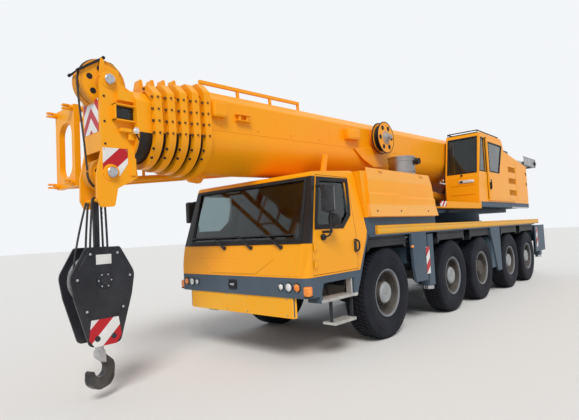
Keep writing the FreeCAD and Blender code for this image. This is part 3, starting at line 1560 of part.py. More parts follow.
subpart("hook_block", cut(
    fuse(cheek, mirrored(cheek), block_axle, *block_sheaves, crosshead, top_bar, strap, strap_eye),
    hook_bore, pin_hole,
))

# Hook: a shank that turns in the crosshead and a forged bowl, turned a little from the block
shank = bar("z", hook_bore_radius - size.fit_gap, (0, 0, size.block_bottom_z - 60), 270)
bowl_z = 320
bowl = prism("xz", (
    (-45, size.block_bottom_z - 60),
    (-50, bowl_z + 170, 60),
    (-185, bowl_z + 60, 120),
    (-160, size.hook_bottom_z + 20, 120),
    (60, size.hook_bottom_z, 120),
    (175, size.hook_bottom_z + 90, 100),
    (165, bowl_z + 30, 30),
    (120, bowl_z + 30, 30),
    (90, bowl_z - 50, 90),
    (-70, bowl_z - 70, 80),
    (-70, bowl_z + 60, 60),
    (45, bowl_z + 150, 60),
    (45, size.block_bottom_z - 60),
), (-42, 42))
hook = fuse(shank, bowl)
hook.Placement = FreeCAD.Placement(FreeCAD.Vector(), FreeCAD.Rotation(FreeCAD.Vector(0, 0, 1), 1))
bind(hook, ".Placement.Rotation.Angle", size.hook_turn)
subpart("hook", place(hook, size.block_x))

doc.recompute()
for item in doc.Objects:
    if "Invalid" in item.State or "Error" in item.State:
        raise RuntimeError(f"{item.Label} failed: {item.State}")
os.makedirs("parts", exist_ok=True)
for item in subparts:
    if item.Shape.isNull() or not item.Shape.isValid():
        raise RuntimeError(f"{item.Label} has no valid shape")
    item.Shape.exportStep(f"parts/{item.Label}.step")
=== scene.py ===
import math

import bmesh
import bpy
from mathutils import Matrix, Vector


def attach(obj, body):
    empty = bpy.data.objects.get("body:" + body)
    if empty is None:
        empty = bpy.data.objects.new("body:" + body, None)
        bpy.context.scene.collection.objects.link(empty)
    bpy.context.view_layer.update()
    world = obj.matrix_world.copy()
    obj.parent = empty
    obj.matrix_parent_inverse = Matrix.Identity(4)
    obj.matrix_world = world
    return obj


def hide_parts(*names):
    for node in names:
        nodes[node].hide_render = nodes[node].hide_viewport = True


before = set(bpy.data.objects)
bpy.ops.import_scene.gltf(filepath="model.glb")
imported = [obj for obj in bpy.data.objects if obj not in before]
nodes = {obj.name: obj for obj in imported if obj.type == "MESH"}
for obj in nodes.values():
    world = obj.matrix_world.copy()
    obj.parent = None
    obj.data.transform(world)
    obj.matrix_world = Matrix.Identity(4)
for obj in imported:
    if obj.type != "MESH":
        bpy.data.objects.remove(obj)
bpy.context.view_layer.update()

# Viewpoint: eye height beside the crane's left front corner, on a wide lens, with the camera
# rolled a little to its right as the photograph was.
camera = bpy.data.objects.new("Viewpoint", bpy.data.cameras.new("Viewpoint"))
camera.data.sensor_width = 36
camera.data.lens = 27.67
camera.data.clip_end = 300
right = (-0.67080, 0.73996, -0.04975)
up = (0.00330, 0.07006, 0.99754)
back = (0.74163, 0.66899, -0.04943)
eye = (9.018, 4.930, 1.731)
camera.matrix_world = Matrix(((*right, 0), (*up, 0), (*back, 0), (*eye, 1))).transposed()
bpy.context.scene.collection.objects.link(camera)
bpy.context.scene.camera = camera
bpy.context.scene.view_settings.view_transform = "Standard"

# Studio: a pale floor under an even white sky, with one soft lamp high on the crane's left
# front side that gives the shadows their direction.
def wire(tree, kind, inputs, **settings):
    node = tree.nodes.new(kind)
    for setting, value in settings.items():
        setattr(node, setting, value)
    for socket, value in inputs.items():
        if isinstance(value, bpy.types.NodeSocket):
            tree.links.new(value, node.inputs[socket])
        else:
            node.inputs[socket].default_value = value
    return node


def maths(tree, operation, *values):
    return wire(tree, "ShaderNodeMath", dict(enumerate(values)), operation=operation).outputs[0]


floor_bm = bmesh.new()
bmesh.ops.create_grid(floor_bm, x_segments=1, y_segments=1, size=90)
floor_mesh = bpy.data.meshes.new("Studio_floor")
floor_bm.to_mesh(floor_mesh)
floor_bm.free()
floor = bpy.data.objects.new("Studio_floor", floor_mesh)
bpy.context.scene.collection.objects.link(floor)
pale = bpy.data.materials.new("pale_floor")
pale.use_nodes = True
pale_sockets = pale.node_tree.nodes["Principled BSDF"].inputs
pale_sockets["Base Color"].default_value = (0.78, 0.78, 0.77, 1)
pale_sockets["Roughness"].default_value = 0.9
floor_mesh.materials.append(pale)

world = bpy.data.worlds.new("Studio_sky")
world.use_nodes = True
bpy.context.scene.world = world
sky = world.node_tree
sky_light = sky.nodes["Background"]
sky_light.inputs["Color"].default_value = (0.93, 0.96, 1.0, 1)
sky_light.inputs["Strength"].default_value = 0.48
sky_seen = wire(sky, "ShaderNodeBackground", {"Color": (0.90, 0.92, 0.95, 1), "Strength": 1.0})
ray = wire(sky, "ShaderNodeLightPath", {}).outputs
either = maths(sky, "MAXIMUM", ray["Is Camera Ray"], ray["Is Transmission Ray"])
any_seen = maths(sky, "MAXIMUM", either, ray["Is Glossy Ray"])
sky_mix = wire(sky, "ShaderNodeMixShader", {"Fac": any_seen, 1: sky_light.outputs[0], 2: sky_seen.outputs[0]})
sky.links.new(sky_mix.outputs[0], sky.nodes["World Output"].inputs["Surface"])

lamp = bpy.data.objects.new("Soft_lamp", bpy.data.lights.new("Soft_lamp", "SUN"))
lamp.data.energy = 2.35
lamp.data.angle = math.radians(24)
lamp.data.color = (1.0, 0.97, 0.93)
lamp.rotation_euler = Vector((0.50, 0.52, 0.70)).to_track_quat("Z", "Y").to_euler()
bpy.context.scene.collection.objects.link(lamp)


# Painted chassis: welded plate sprayed slate grey, faded in large soft patches, with a fine grain
# in its gloss and road dust that thickens towards the ground. Axles and knuckles are black.
def noise(tree, place, scale, detail=2, roughness=0.5):
    return wire(tree, "ShaderNodeTexNoise", {"Vector": place, "Scale": scale, "Detail": detail,
                                             "Roughness": roughness}).outputs["Fac"]


def graded(tree, value, limits):
    return wire(tree, "ShaderNodeMapRange", {"Value": value, **limits}).outputs["Result"]


def mixed(tree, factor, first, second):
    return wire(tree, "ShaderNodeMix", {"Factor": factor, "A": first, "B": second},
                data_type="RGBA").outputs["Result"]


def weathered(name, colour, faded, roughness, metallic=0.0, patch=0.7, grain=45, bump=0.015,
              dust=0.0, coat=0.0, shine=0.28):
    finish = bpy.data.materials.new(name)
    finish.use_nodes = True
    tree = finish.node_tree
    shader = tree.nodes["Principled BSDF"].inputs
    for socket, value in (("Metallic", metallic), ("Specular IOR Level", shine), ("Coat Weight", coat),
                          ("Coat Roughness", 0.12)):
        shader[socket].default_value = value
    place = wire(tree, "ShaderNodeTexCoord", {}).outputs["Object"]
    patches = noise(tree, place, patch, detail=5, roughness=0.62)
    tint = mixed(tree, graded(tree, patches, {"From Min": 0.38, "From Max": 0.68}), (*colour, 1), (*faded, 1))
    specks = noise(tree, place, grain, detail=6)
    if dust:
        height = wire(tree, "ShaderNodeSeparateXYZ", {"Vector": place}).outputs["Z"]
        low = graded(tree, height, {"From Min": 1.7, "From Max": 0.2})
        settled = maths(tree, "MULTIPLY", low, noise(tree, place, 5, detail=8, roughness=0.7))
        tint = mixed(tree, maths(tree, "MULTIPLY", settled, dust), tint, (0.30, 0.28, 0.25, 1))
    tree.links.new(tint, shader["Base Color"])
    gloss = graded(tree, specks, {"To Min": roughness[0], "To Max": roughness[1]})
    tree.links.new(gloss, shader["Roughness"])
    relief = wire(tree, "ShaderNodeBump", {"Strength": bump, "Distance": 0.01, "Height": specks})
    tree.links.new(relief.outputs["Normal"], shader["Normal"])
    return finish


def dress(finish, *names):
    for name in names:
        nodes[name].data.materials.clear()
        nodes[name].data.materials.append(finish)


both_sides = (("left", 1), ("right", -1))
corners = [f"{end}_{side}" for end in ("front", "rear") for side, outward in both_sides]
slate = weathered("slate_enamel", (0.052, 0.084, 0.122), (0.072, 0.105, 0.142), (0.42, 0.58), dust=0.22,
                  coat=0.02, shine=0.14)
dress(slate, "chassis_frame", *[f"outrigger_{corner}" for corner in corners])
underside = weathered("underside_black", (0.022, 0.023, 0.025), (0.06, 0.057, 0.052), (0.55, 0.8), dust=0.9)
dress(underside, "axle_beams", "engine_block",
      *[f"knuckle_{axle}_{side}" for axle in (1, 2, 4, 5) for side, outward in both_sides])

# Jacks: ground steel rams under the outrigger legs, with forged feet. The luffing cylinder's rod
# is ground and plated the same way.
ground_steel = weathered("ground_steel", (0.55, 0.55, 0.56), (0.42, 0.42, 0.43), (0.18, 0.34), metallic=1.0,
                         grain=90, bump=0.01)
dress(ground_steel, "luffing_cylinder_rod", *[f"jack_{corner}" for corner in corners])

# Bodywork paint: golden yellow enamel on the hood, the housing, the boom and its head, and satin
# black on small steelwork. The cabs' insides are trimmed in grained dark plastic.
yellow = weathered("golden_enamel", (0.93, 0.345, 0.002), (0.88, 0.375, 0.008), (0.30, 0.46), patch=0.5,
                   coat=0.06, dust=0.05)
dress(yellow, "engine_hood", "machinery_housing", "boom_base", "boom_head", "folding_jib",
      "luffing_cylinder_barrel")
black_paint = weathered("satin_black", (0.014, 0.014, 0.017), (0.03, 0.03, 0.034), (0.42, 0.6), dust=0.08,
                        shine=0.12)
grained = weathered("grained_plastic", (0.03, 0.03, 0.033), (0.05, 0.05, 0.052), (0.5, 0.65), grain=220,
                    bump=0.06)
dress(grained, "driver_cab_interior", "crane_cab_interior")

# Glazing: tinted safety glass, a little green, flat and very smooth, with faint smears that
# change only its gloss.
glass = bpy.data.materials.new("tinted_glass")
glass.use_nodes = True
glass_tree = glass.node_tree
pane = glass_tree.nodes["Principled BSDF"].inputs
for socket, value in (("Base Color", (0.42, 0.50, 0.50, 1)), ("IOR", 1.45), ("Transmission Weight", 1.0)):
    pane[socket].default_value = value
smears = noise(glass_tree, wire(glass_tree, "ShaderNodeTexCoord", {}).outputs["Object"], 3)
glass_tree.links.new(graded(glass_tree, smears, {"To Min": 0.015, "To Max": 0.07}), pane["Roughness"])
dress(glass, "driver_cab_glass", "door_glass_left", "door_glass_right", "crane_cab_glass")

# Wheels: ten wide-base crane tyres, moulded with arrow-shaped tread blocks and shoulder lugs, on
# deep steel rims. Nuts hold each rim to a planetary hub that ends in a bolted, painted cap.
def turned(bm, profile, steps, place=Matrix(), index=0):
    before = set(bm.faces)
    ring = [bm.verts.new((0, y, radius)) for y, radius in profile]
    edges = [bm.edges.new(pair) for pair in zip(ring, ring[1:] + ring[:1])]
    bmesh.ops.spin(bm, geom=ring + edges, cent=(0, 0, 0), axis=(0, 1, 0), angle=math.tau, steps=steps,
                   use_merge=True)
    made = [face for face in bm.faces if face not in before]
    for face in made:
        face.material_index = index
    verts = list(dict.fromkeys(vert for face in made for vert in face.verts))
    bmesh.ops.transform(bm, verts=verts, matrix=place)
    return verts


def finished(name, bm, body, finishes, replaced=(), crease=34):
    bmesh.ops.remove_doubles(bm, verts=bm.verts, dist=1e-5)
    bmesh.ops.dissolve_degenerate(bm, edges=bm.edges, dist=1e-5)
    bmesh.ops.recalc_face_normals(bm, faces=bm.faces)
    for face in bm.faces:
        face.smooth = True
    for edge in bm.edges:
        edge.smooth = len(edge.link_faces) == 2 and edge.calc_face_angle() < math.radians(crease)
    mesh = bpy.data.meshes.new(name)
    bm.to_mesh(mesh)
    bm.free()
    for finish in finishes:
        mesh.materials.append(finish)
    piece = bpy.data.objects.new(name, mesh)
    bpy.context.scene.collection.objects.link(piece)
    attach(piece, body)
    if replaced:
        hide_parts(*replaced)
    return piece


def painted_faces(verts, index, chosen=lambda face: True):
    for face in {face for vert in verts for face in vert.link_faces}:
        if chosen(face):
            face.material_index = index


tyre_rubber = weathered("tyre_rubber", (0.008, 0.009, 0.014), (0.016, 0.018, 0.026), (0.55, 0.75),
                        patch=2.2, grain=130, bump=0.05, dust=0.05, shine=0.1)
rim_grey = weathered("rim_grey", (0.12, 0.14, 0.17), (0.20, 0.22, 0.25), (0.42, 0.6), patch=4,
                     grain=80, dust=0.5)
rim_dark = weathered("rim_dark", (0.018, 0.016, 0.016), (0.055, 0.042, 0.036), (0.5, 0.75), patch=6,
                     grain=90, bump=0.04, dust=0.5)
cap_grey = weathered("cap_grey", (0.27, 0.29, 0.31), (0.38, 0.40, 0.42), (0.35, 0.55), patch=9,
                     grain=100, dust=0.5)
tread_base = 0.686
tread_rise = 0.019
tread_half = 0.165
tread_lag = 0.62
tyre_side = (
    (0.085, tread_base), (tread_half, tread_base - 0.004), (0.187, 0.648), (0.192, 0.622),
    (0.196, 0.596), (0.2, 0.572), (0.2035, 0.566), (0.2035, 0.556), (0.2, 0.550), (0.2, 0.505),
    (0.195, 0.462), (0.186, 0.424), (0.176, 0.396), (0.1795, 0.391), (0.179, 0.384), (0.172, 0.380),
    (0.166, 0.362), (0.158, 0.352),
)
rim_face = (
    (0.156, 0.350), (0.164, 0.366), (0.1715, 0.3735), (0.177, 0.371), (0.1785, 0.362), (0.174, 0.352),
    (0.160, 0.343), (0.152, 0.331), (0.148, 0.318), (0.060, 0.312), (0.020, 0.305), (0.004, 0.294),
    (0.0, 0.262), (0.0, 0.242), (0.006, 0.236), (0.006, 0.190), (0.016, 0.184), (0.060, 0.178),
    (0.088, 0.176), (0.092, 0.170), (0.122, 0.166), (0.126, 0.156), (0.140, 0.150), (0.149, 0.139),
    (0.151, 0.060), (0.149, 0.054), (0.149, 0.0),
)
rim_back = (
    (-0.034, 0.0), (-0.034, 0.286), (-0.100, 0.308), (-0.148, 0.318), (-0.160, 0.343), (-0.174, 0.352),
    (-0.1785, 0.362), (-0.177, 0.371), (-0.1715, 0.3735), (-0.164, 0.366), (-0.156, 0.350),
)


def make_tyre(name, body, centre):
    bm = bmesh.new()
    profile = [(-y, r) for y, r in reversed(tyre_side)] + [(0, tread_base + 0.001)] + list(tyre_side)
    turned(bm, profile, 60)
    for vert in bm.verts:
        lag = Matrix.Rotation(tread_lag * min(abs(vert.co.y), tread_half), 3, "Y")
        vert.co = lag @ vert.co
    bmesh.ops.remove_doubles(bm, verts=bm.verts, dist=1e-5)

    def row(low, high):
        return [face for face in bm.faces if low < abs(face.calc_center_median().y) < high
                and face.calc_center_median().xz.length > 0.64]

    for blocks, rise, gap in ((row(0, tread_half), tread_rise, 0.0095),
                              (row(tread_half, 0.18), 0.010, 0.008)):
        bmesh.ops.inset_individual(bm, faces=blocks, thickness=gap, use_even_offset=True)
        raised = bmesh.ops.extrude_discrete_faces(bm, faces=blocks)["faces"]
        for face in raised:
            for vert in face.verts:
                spread = vert.co.xz.length
                vert.co.x *= (spread + rise) / spread
                vert.co.z *= (spread + rise) / spread
    bmesh.ops.translate(bm, verts=bm.verts, vec=centre)
    return finished(name, bm, body, [tyre_rubber], crease=30)


def make_rim(name, body, centre, outward, replaced, cap):
    bm = bmesh.new()
    verts = turned(bm, [(y * outward, r) for y, r in rim_face + rim_back], 48)
    painted_faces(verts, 1, lambda face: face.calc_center_median().xz.length < 0.345)
    painted_faces(verts, 2, lambda face: face.calc_center_median().xz.length < 0.163
                  and face.calc_center_median().y * outward > 0.1)
    for count, reach, foot, height, radius, colour in (
        (20, 0.213, 0.0, 0.030, 0.0155, 1), (20, 0.213, 0.026, 0.016, 0.009, 0),
        (16, 0.104, 0.149, 0.007, 0.0085, 2), (1, 0.0, 0.149, 0.012, 0.026, 2),
    ):
        for turn in range(count):
            angle = math.tau * turn / count
            spot = Matrix.Translation((reach * math.cos(angle), outward * (foot + height / 2),
                                       reach * math.sin(angle)))
            nut = bmesh.ops.create_cone(bm, cap_ends=True, segments=6 if count > 1 else 24, radius1=radius,
                                        radius2=radius * 0.9, depth=height,
                                        matrix=spot @ Matrix.Rotation(-outward * math.pi / 2, 4, "X"))
            painted_faces(nut["verts"], colour)
    bmesh.ops.translate(bm, verts=bm.verts, vec=centre)
    return finished(name, bm, body, [rim_grey, rim_dark, cap], replaced)


for number, axle_x in enumerate((2.785, 0.205, -1.445, -3.572, -5.222), start=1):
    for side, outward in both_sides:
        wheel = f"wheel_{number}_{side}"
        centre = (axle_x, outward * 1.130, 0.705)
        make_tyre(f"tyre_{number}_{side}", wheel, centre)
        make_rim(f"rim_{number}_{side}", wheel, centre, outward, [wheel],
                 rim_dark if number == 3 else cap_grey)

# Driver's cab: welded steel shell in golden enamel. The pillars round the windscreen and the
# side windows are black, and the glass is bonded into rubber seals that stand just proud.
def rounded(bm, before, edge, index, segments=1):
    made = [face for face in bm.faces if face not in before]
    if edge:
        rims = list(dict.fromkeys(rim for face in made for rim in face.edges))
        bmesh.ops.bevel(bm, geom=rims, offset=edge, offset_type="OFFSET", affect="EDGES", segments=segments,
                        profile=0.5, material=-1, clamp_overlap=True)
        made = [face for face in bm.faces if face not in before]
    for face in made:
        face.material_index = index
    return made


def raised_faces(bm, faces, lift):
    grown = bmesh.ops.extrude_face_region(bm, geom=faces, use_keep_orig=True)["geom"]
    bmesh.ops.translate(bm, vec=lift, verts=[item for item in grown if isinstance(item, bmesh.types.BMVert)])


def slab(bm, outline, lift, edge=0.0, index=0):
    before = set(bm.faces)
    base = bm.faces.new([bm.verts.new(corner) for corner in outline])
    base.normal_update()
    raised_faces(bm, [base], lift)
    return rounded(bm, before, edge, index)


def side_plate(bm, y, thick, outline, edge=0.0, index=0):
    return slab(bm, [(x, y, z) for x, z in outline], (0, thick, 0), edge, index)


def frame_ring(bm, outline, width, lift, edge=0.0, index=0):
    before = set(bm.faces)
    base = bm.faces.new([bm.verts.new(corner) for corner in outline])
    base.normal_update()
    bmesh.ops.inset_region(bm, faces=[base], thickness=width, use_even_offset=True, use_boundary=True)
    bmesh.ops.delete(bm, geom=[base], context="FACES_ONLY")
    raised_faces(bm, [face for face in bm.faces if face not in before], lift)
    return rounded(bm, before, edge, index)


def block(bm, start, end, edge=0.004, index=0, segments=1, place=Matrix()):
    before = set(bm.faces)
    middle = [(a + b) / 2 for a, b in zip(start, end)]
    sides = [abs(b - a) for a, b in zip(start, end)]
    bmesh.ops.create_cube(bm, size=1,
                          matrix=place @ Matrix.Translation(middle) @ Matrix.Diagonal((*sides, 1)))
    return rounded(bm, before, edge, index, segments)


def tube(bm, start, end, radius, sides=16, index=0, end_radius=None, edge=0.0):
    before = set(bm.faces)
    start, end = Vector(start), Vector(end)
    turn = (end - start).to_track_quat("Z", "Y").to_matrix().to_4x4()
    bmesh.ops.create_cone(bm, cap_ends=True, segments=sides, radius1=radius,
                          radius2=radius if end_radius is None else end_radius, depth=(end - start).length,
                          matrix=Matrix.Translation((start + end) / 2) @ turn)
    if edge:
        caps = [face for face in bm.faces if face not in before and len(face.verts) == sides]
        rims = list(dict.fromkeys(rim for face in caps for rim in face.edges))
        bmesh.ops.bevel(bm, geom=rims, offset=edge, offset_type="OFFSET", affect="EDGES", segments=2,
                        profile=0.5, material=-1)
    for face in bm.faces:
        if face not in before:
            face.material_index = index


def stud(bm, foot, rise, radius, sides=6, index=0, end_radius=None, edge=0.0):
    tube(bm, foot, Vector(foot) + Vector(rise), radius, sides, index, end_radius, edge)


def bolt_circle(bm, place, count, reach, y, rise, radius, sides=6, index=0, edge=0.0, first=0.0):
    for turn in range(count):
        angle = first + math.tau * turn / count
        stud(bm, place @ Vector((reach * math.cos(angle), y, reach * math.sin(angle))), (0, rise, 0), radius,
             sides, index, edge=edge)


def pipe(bm, points, radius, index=0):
    line = bpy.data.curves.new("line", "CURVE")
    line.dimensions = "3D"
    line.bevel_depth = radius
    line.bevel_resolution = 4
    line.resolution_u = 6
    line.use_fill_caps = True
    run = line.splines.new("NURBS")
    run.points.add(len(points) - 1)
    for spot, point in zip(run.points, points):
        spot.co = (*point, 1)
    run.order_u = 3
    run.use_endpoint_u = True
    holder = bpy.data.objects.new("line", line)
    drawn = bpy.data.meshes.new_from_object(holder)
    before = set(bm.faces)
    bm.from_mesh(drawn)
    for face in bm.faces:
        if face not in before:
            face.material_index = index
    bpy.data.objects.remove(holder)
    bpy.data.curves.remove(line)
    bpy.data.meshes.remove(drawn)


# A second colour masked off inside limits of the object's own coordinates, with y the same on
# both sides. slope moves the x limits back as z rises, and stripe paints bands that lean.
def recoloured(finish, name):
    new_finish = finish.copy()
    new_finish.name = name
    tree = new_finish.node_tree
    base_colour = tree.nodes["Principled BSDF"].inputs["Base Color"]
    place = wire(tree, "ShaderNodeTexCoord", {}).outputs
    return new_finish, tree, base_colour, base_colour.links[0].from_socket, place


def zone(finish, name, colour, x=(-99, 99), y=(-1, 99), z=(-99, 99), slope=0.0, stripe=None):
    new_finish, tree, base_colour, under, place = recoloured(finish, name)
    axes = wire(tree, "ShaderNodeSeparateXYZ", {"Vector": place["Object"]}).outputs
    along = maths(tree, "ADD", axes["X"], maths(tree, "MULTIPLY", axes["Z"], slope))
    across = maths(tree, "ABSOLUTE", axes["Y"])
    inside = None
    for value, (low, high) in ((along, x), (across, y), (axes["Z"], z)):
        for operation, limit in (("GREATER_THAN", low), ("LESS_THAN", high)):
            if abs(limit) < 90:
                test = maths(tree, operation, value, limit)
                inside = test if inside is None else maths(tree, "MULTIPLY", inside, test)
    if stripe:
        *lean, width = stripe
        run = 0.0
        for axis, share in zip("XZY", (lean[0], lean[2], lean[1])):
            run = maths(tree, "ADD", run, maths(tree, "MULTIPLY", axes[axis], share))
        band = maths(tree, "GREATER_THAN", maths(tree, "PINGPONG", run, width), width / 2)
        inside = maths(tree, "MULTIPLY", inside, band)
    worn = [part * 0.86 + 0.006 for part in colour]
    shade = mixed(tree, noise(tree, place["Object"], 14, detail=6), (*colour, 1), (*worn, 1))
    tree.links.new(mixed(tree, inside, under, shade), base_colour)
    return new_finish


# The inside of a shell is trimmed in dark grained plastic: faces whose normal, in the piece's own
# coordinates, points at the shell's middle take the trim colour.
def lined(finish, name, middle):
    new_finish, tree, base_colour, under, place = recoloured(finish, name)
    outwards = wire(tree, "ShaderNodeVectorMath", {0: place["Object"], 1: middle}, operation="SUBTRACT")
    facing = wire(tree, "ShaderNodeVectorMath", {0: outwards.outputs["Vector"], 1: place["Normal"]},
                  operation="DOT_PRODUCT")
    inner = maths(tree, "LESS_THAN", facing.outputs["Value"], -0.02)
    trim = mixed(tree, noise(tree, place["Object"], 60), (0.035, 0.036, 0.040, 1), (0.075, 0.076, 0.082, 1))
    tree.links.new(mixed(tree, inner, under, trim), base_colour)
    return new_finish


pillar_black = (0.012, 0.012, 0.014)
screen_slope = 0.25705
screen_foot = 4.694 + screen_slope * 1.568
cab_paint = zone(yellow, "cab_enamel", pillar_black, x=(screen_foot - 0.105, 99), z=(1.573, 2.462),
                 slope=screen_slope)
cab_middle = (4.05, 0, 1.85)
dress(lined(cab_paint, "cab_lined", cab_middle), "driver_cab")
door_paint = zone(yellow, "door_enamel", pillar_black, y=(1.386, 99))
door_paint = zone(door_paint, "door_enamel_grip", pillar_black, x=(3.69, 3.76), y=(1.354, 99), z=(1.40, 1.58))
dress(lined(door_paint, "door_lined", cab_middle), "driver_door_left", "driver_door_right")
rubber_seal = weathered("rubber_seal", (0.010, 0.010, 0.011), (0.02, 0.02, 0.022), (0.55, 0.72), patch=6,
                        grain=160)
moulded_black = weathered("moulded_black", (0.014, 0.014, 0.016), (0.03, 0.03, 0.034), (0.42, 0.6), patch=5,
                          grain=240, bump=0.05)
silvered = weathered("silvered", (0.78, 0.80, 0.82), (0.62, 0.64, 0.66), (0.06, 0.16), metallic=1.0, patch=8)


def screen_point(y, z, proud=0.0):
    return Vector((screen_foot - screen_slope * z + proud, y, z))


screen_out = Vector((1, 0, screen_slope)).normalized()
bm = bmesh.new()
screen = ((-1.195, 1.598), (1.195, 1.598), (1.168, 2.452), (-1.168, 2.452))
frame_ring(bm, [screen_point(y, z) for y, z in screen], 0.045, screen_out * 0.009, edge=0.003)
slab(bm, [screen_point(y, z, 0.004) for y, z in ((-1.2, 1.574), (1.2, 1.574), (1.2, 1.6), (-1.2, 1.6))],
     screen_out * 0.012, edge=0.004)
finished("screen_seal", bm, "chassis", [rubber_seal])

window = ((4.570, 1.748), (4.538, 1.890), (4.376, 2.456), (3.655, 2.466), (3.692, 2.06), (3.716, 1.93),
          (3.935, 1.748))
door_grip = ((3.705, 1.352, 1.580), (3.690, 1.395, 1.575), (3.655, 1.400, 1.53), (3.655, 1.400, 1.46),
             (3.690, 1.395, 1.420), (3.705, 1.352, 1.415))
for side, outward in both_sides:
    bm = bmesh.new()
    frame_ring(bm, [(x, outward * (1.352 - 0.1238 * max(0.0, z - 1.568)), z) for x, z in window[::outward]],
               0.062, (0, outward * 0.012, 0.0015), edge=0.004)
    pipe(bm, [(x, outward * y, z) for x, y, z in door_grip], 0.013)
    finished(f"door_window_seal_{side}", bm, f"driver_door_{side}", [rubber_seal])

    bm = bmesh.new()
    block(bm, (4.353, outward * 1.428, 1.968), (4.537, outward * 1.522, 2.318), edge=0.018, segments=3)
    block(bm, (4.346, outward * 1.438, 1.990), (4.3535, outward * 1.512, 2.296), edge=0.002, index=1)
    block(bm, (4.37, outward * 1.438, 2.312), (4.52, outward * 1.512, 2.326), edge=0.006)
    bowl_at = Matrix.Translation((4.362, outward * 1.510, 1.862)) @ Matrix.Rotation(math.radians(90), 4, "Z")
    turned(bm, ((-0.040, 0.0), (-0.040, 0.066), (-0.028, 0.086), (0.02, 0.090), (0.034, 0.078), (0.046, 0.0)),
           28, bowl_at)
    turned(bm, ((0.047, 0.0), (0.0465, 0.070), (0.040, 0.072), (0.040, 0.0)), 28, bowl_at, index=1)
    for z, inner in ((2.321, 1.236), (1.711, 1.300)):
        tube(bm, (4.401, outward * inner, z), (4.401, outward * 1.488, z), 0.0165, 14, edge=0.003)
    tube(bm, (4.401, outward * 1.474, 1.70), (4.401, outward * 1.474, 2.33), 0.0165, 14, edge=0.003)
    pipe(bm, [(4.401, outward * 1.470, 1.72), (4.41, outward * 1.46, 1.665), (4.425, outward * 1.40, 1.645),
              (4.431, outward * 1.352, 1.644)], 0.012)
    turned(bm, [(-0.022, 0.0), (-0.022, 0.030), (0.0, 0.042), (0.030, 0.040), (0.040, 0.026), (0.040, 0.0)],
           20,
           Matrix.Translation((4.431, outward * 1.352, 1.644)))
    finished(f"door_mirrors_{side}", bm, f"driver_door_{side}", [moulded_black, silvered])

# Windscreen wipers: three parked pantograph arms of black pressed steel on spindles below the
# glass, each with a hinged spring cover and a rubber blade that lies along the lower edge.
front_slope = 0.2288
front_foot = 4.791 + front_slope * 1.144


def front_point(y, z, proud=0.0):
    return Vector((front_foot - front_slope * z + proud, y, z))


bm = bmesh.new()
for spindle_y, tip_y, blade_from, blade_to in (
    (-0.298, -0.575, -1.165, -0.345), (0.283, 0.005, -0.335, 0.36), (0.867, 0.59, 0.37, 1.03),
):
    spindle = front_point(spindle_y, 1.530)
    tip = screen_point(tip_y, 1.690, 0.034)
    tube(bm, spindle - screen_out * 0.012, spindle + screen_out * 0.034, 0.026, 20, edge=0.005)
    knee = spindle.lerp(tip, 0.42) + screen_out * 0.022
    for start, end, wide, thick in ((spindle + screen_out * 0.030, knee, 0.018, 0.010),
                                    (knee, tip, 0.009, 0.006)):
        run = (end - start).normalized()
        across = run.cross(screen_out).normalized() * wide
        slab(bm, [start - across, end - across * 0.8, end + across * 0.8, start + across], screen_out * thick,
             edge=0.002)
    tube(bm, tip - screen_out * 0.014, tip + screen_out * 0.012, 0.010, 10)
    for low, high, proud in ((1.684, 1.704, 0.018), (1.689, 1.697, 0.004)):
        slab(bm, [screen_point(y, z, proud) for y, z in ((blade_from, low), (blade_to, low), (blade_to, high),
                                                         (blade_from, high))], screen_out * 0.012, edge=0.002)
finished("windscreen_wipers", bm, "chassis", [moulded_black])

# Front panel: the service flap below the windscreen, a pressed steel skin with a raised
# trapezoid field, and beside it a narrow black strip, painted shade for the dark gap at the corner.
front_out = Vector((1, 0, front_slope)).normalized()
bm = bmesh.new()
for proud, rise, edge, outline in (
    (-0.002, 0.008, 0.003, ((-1.215, 1.163), (1.108, 1.163), (1.090, 1.548), (-1.215, 1.548))),
    (0.004, 0.011, 0.0075, ((-0.50, 1.178), (0.43, 1.178), (0.76, 1.385), (-0.90, 1.385))),
    (-0.002, 0.008, 0.003, ((1.118, 1.163), (1.225, 1.163), (1.222, 1.548), (1.100, 1.548))),
):
    slab(bm, [front_point(y, z, proud) for y, z in outline], front_out * rise, edge=edge)
finished("front_flap", bm, "chassis", [yellow])
# Painted shade: a thin black strip set in behind the front face stands for the dark gap beside the flap.
bm = bmesh.new()
slab(bm, [front_point(y, z, proud) for y, z, proud in
          ((-1.322, 1.165, -0.040), (-1.292, 1.165, -0.024), (-1.292, 1.49, -0.024), (-1.322, 1.49, -0.040))],
     (0.010, -0.006, 0), edge=0.002)
finished("front_gap_painted_shade", bm, "chassis", [moulded_black])

# Front lamps: round sealed units in black bezels let into the bumper, an amber indicator, a
# headlamp and a small driving lamp on each side, with an amber marker moulded round the corner.
def ribbed(finish, axis, scale, strength):
    tree = finish.node_tree
    place = tree.nodes["Texture Coordinate"].outputs["Object"]
    ribs = wire(tree, "ShaderNodeTexWave", {"Vector": place, "Scale": scale}, bands_direction=axis)
    relief = tree.nodes["Bump"].inputs
    relief["Strength"].default_value = strength
    tree.links.new(ribs.outputs["Fac"], relief["Height"])
    return finish


def lens(name, colour, faded, ribs):
    return ribbed(weathered(name, colour, faded, (0.08, 0.2), patch=20, grain=60, coat=0.6), "Y", ribs, 0.35)


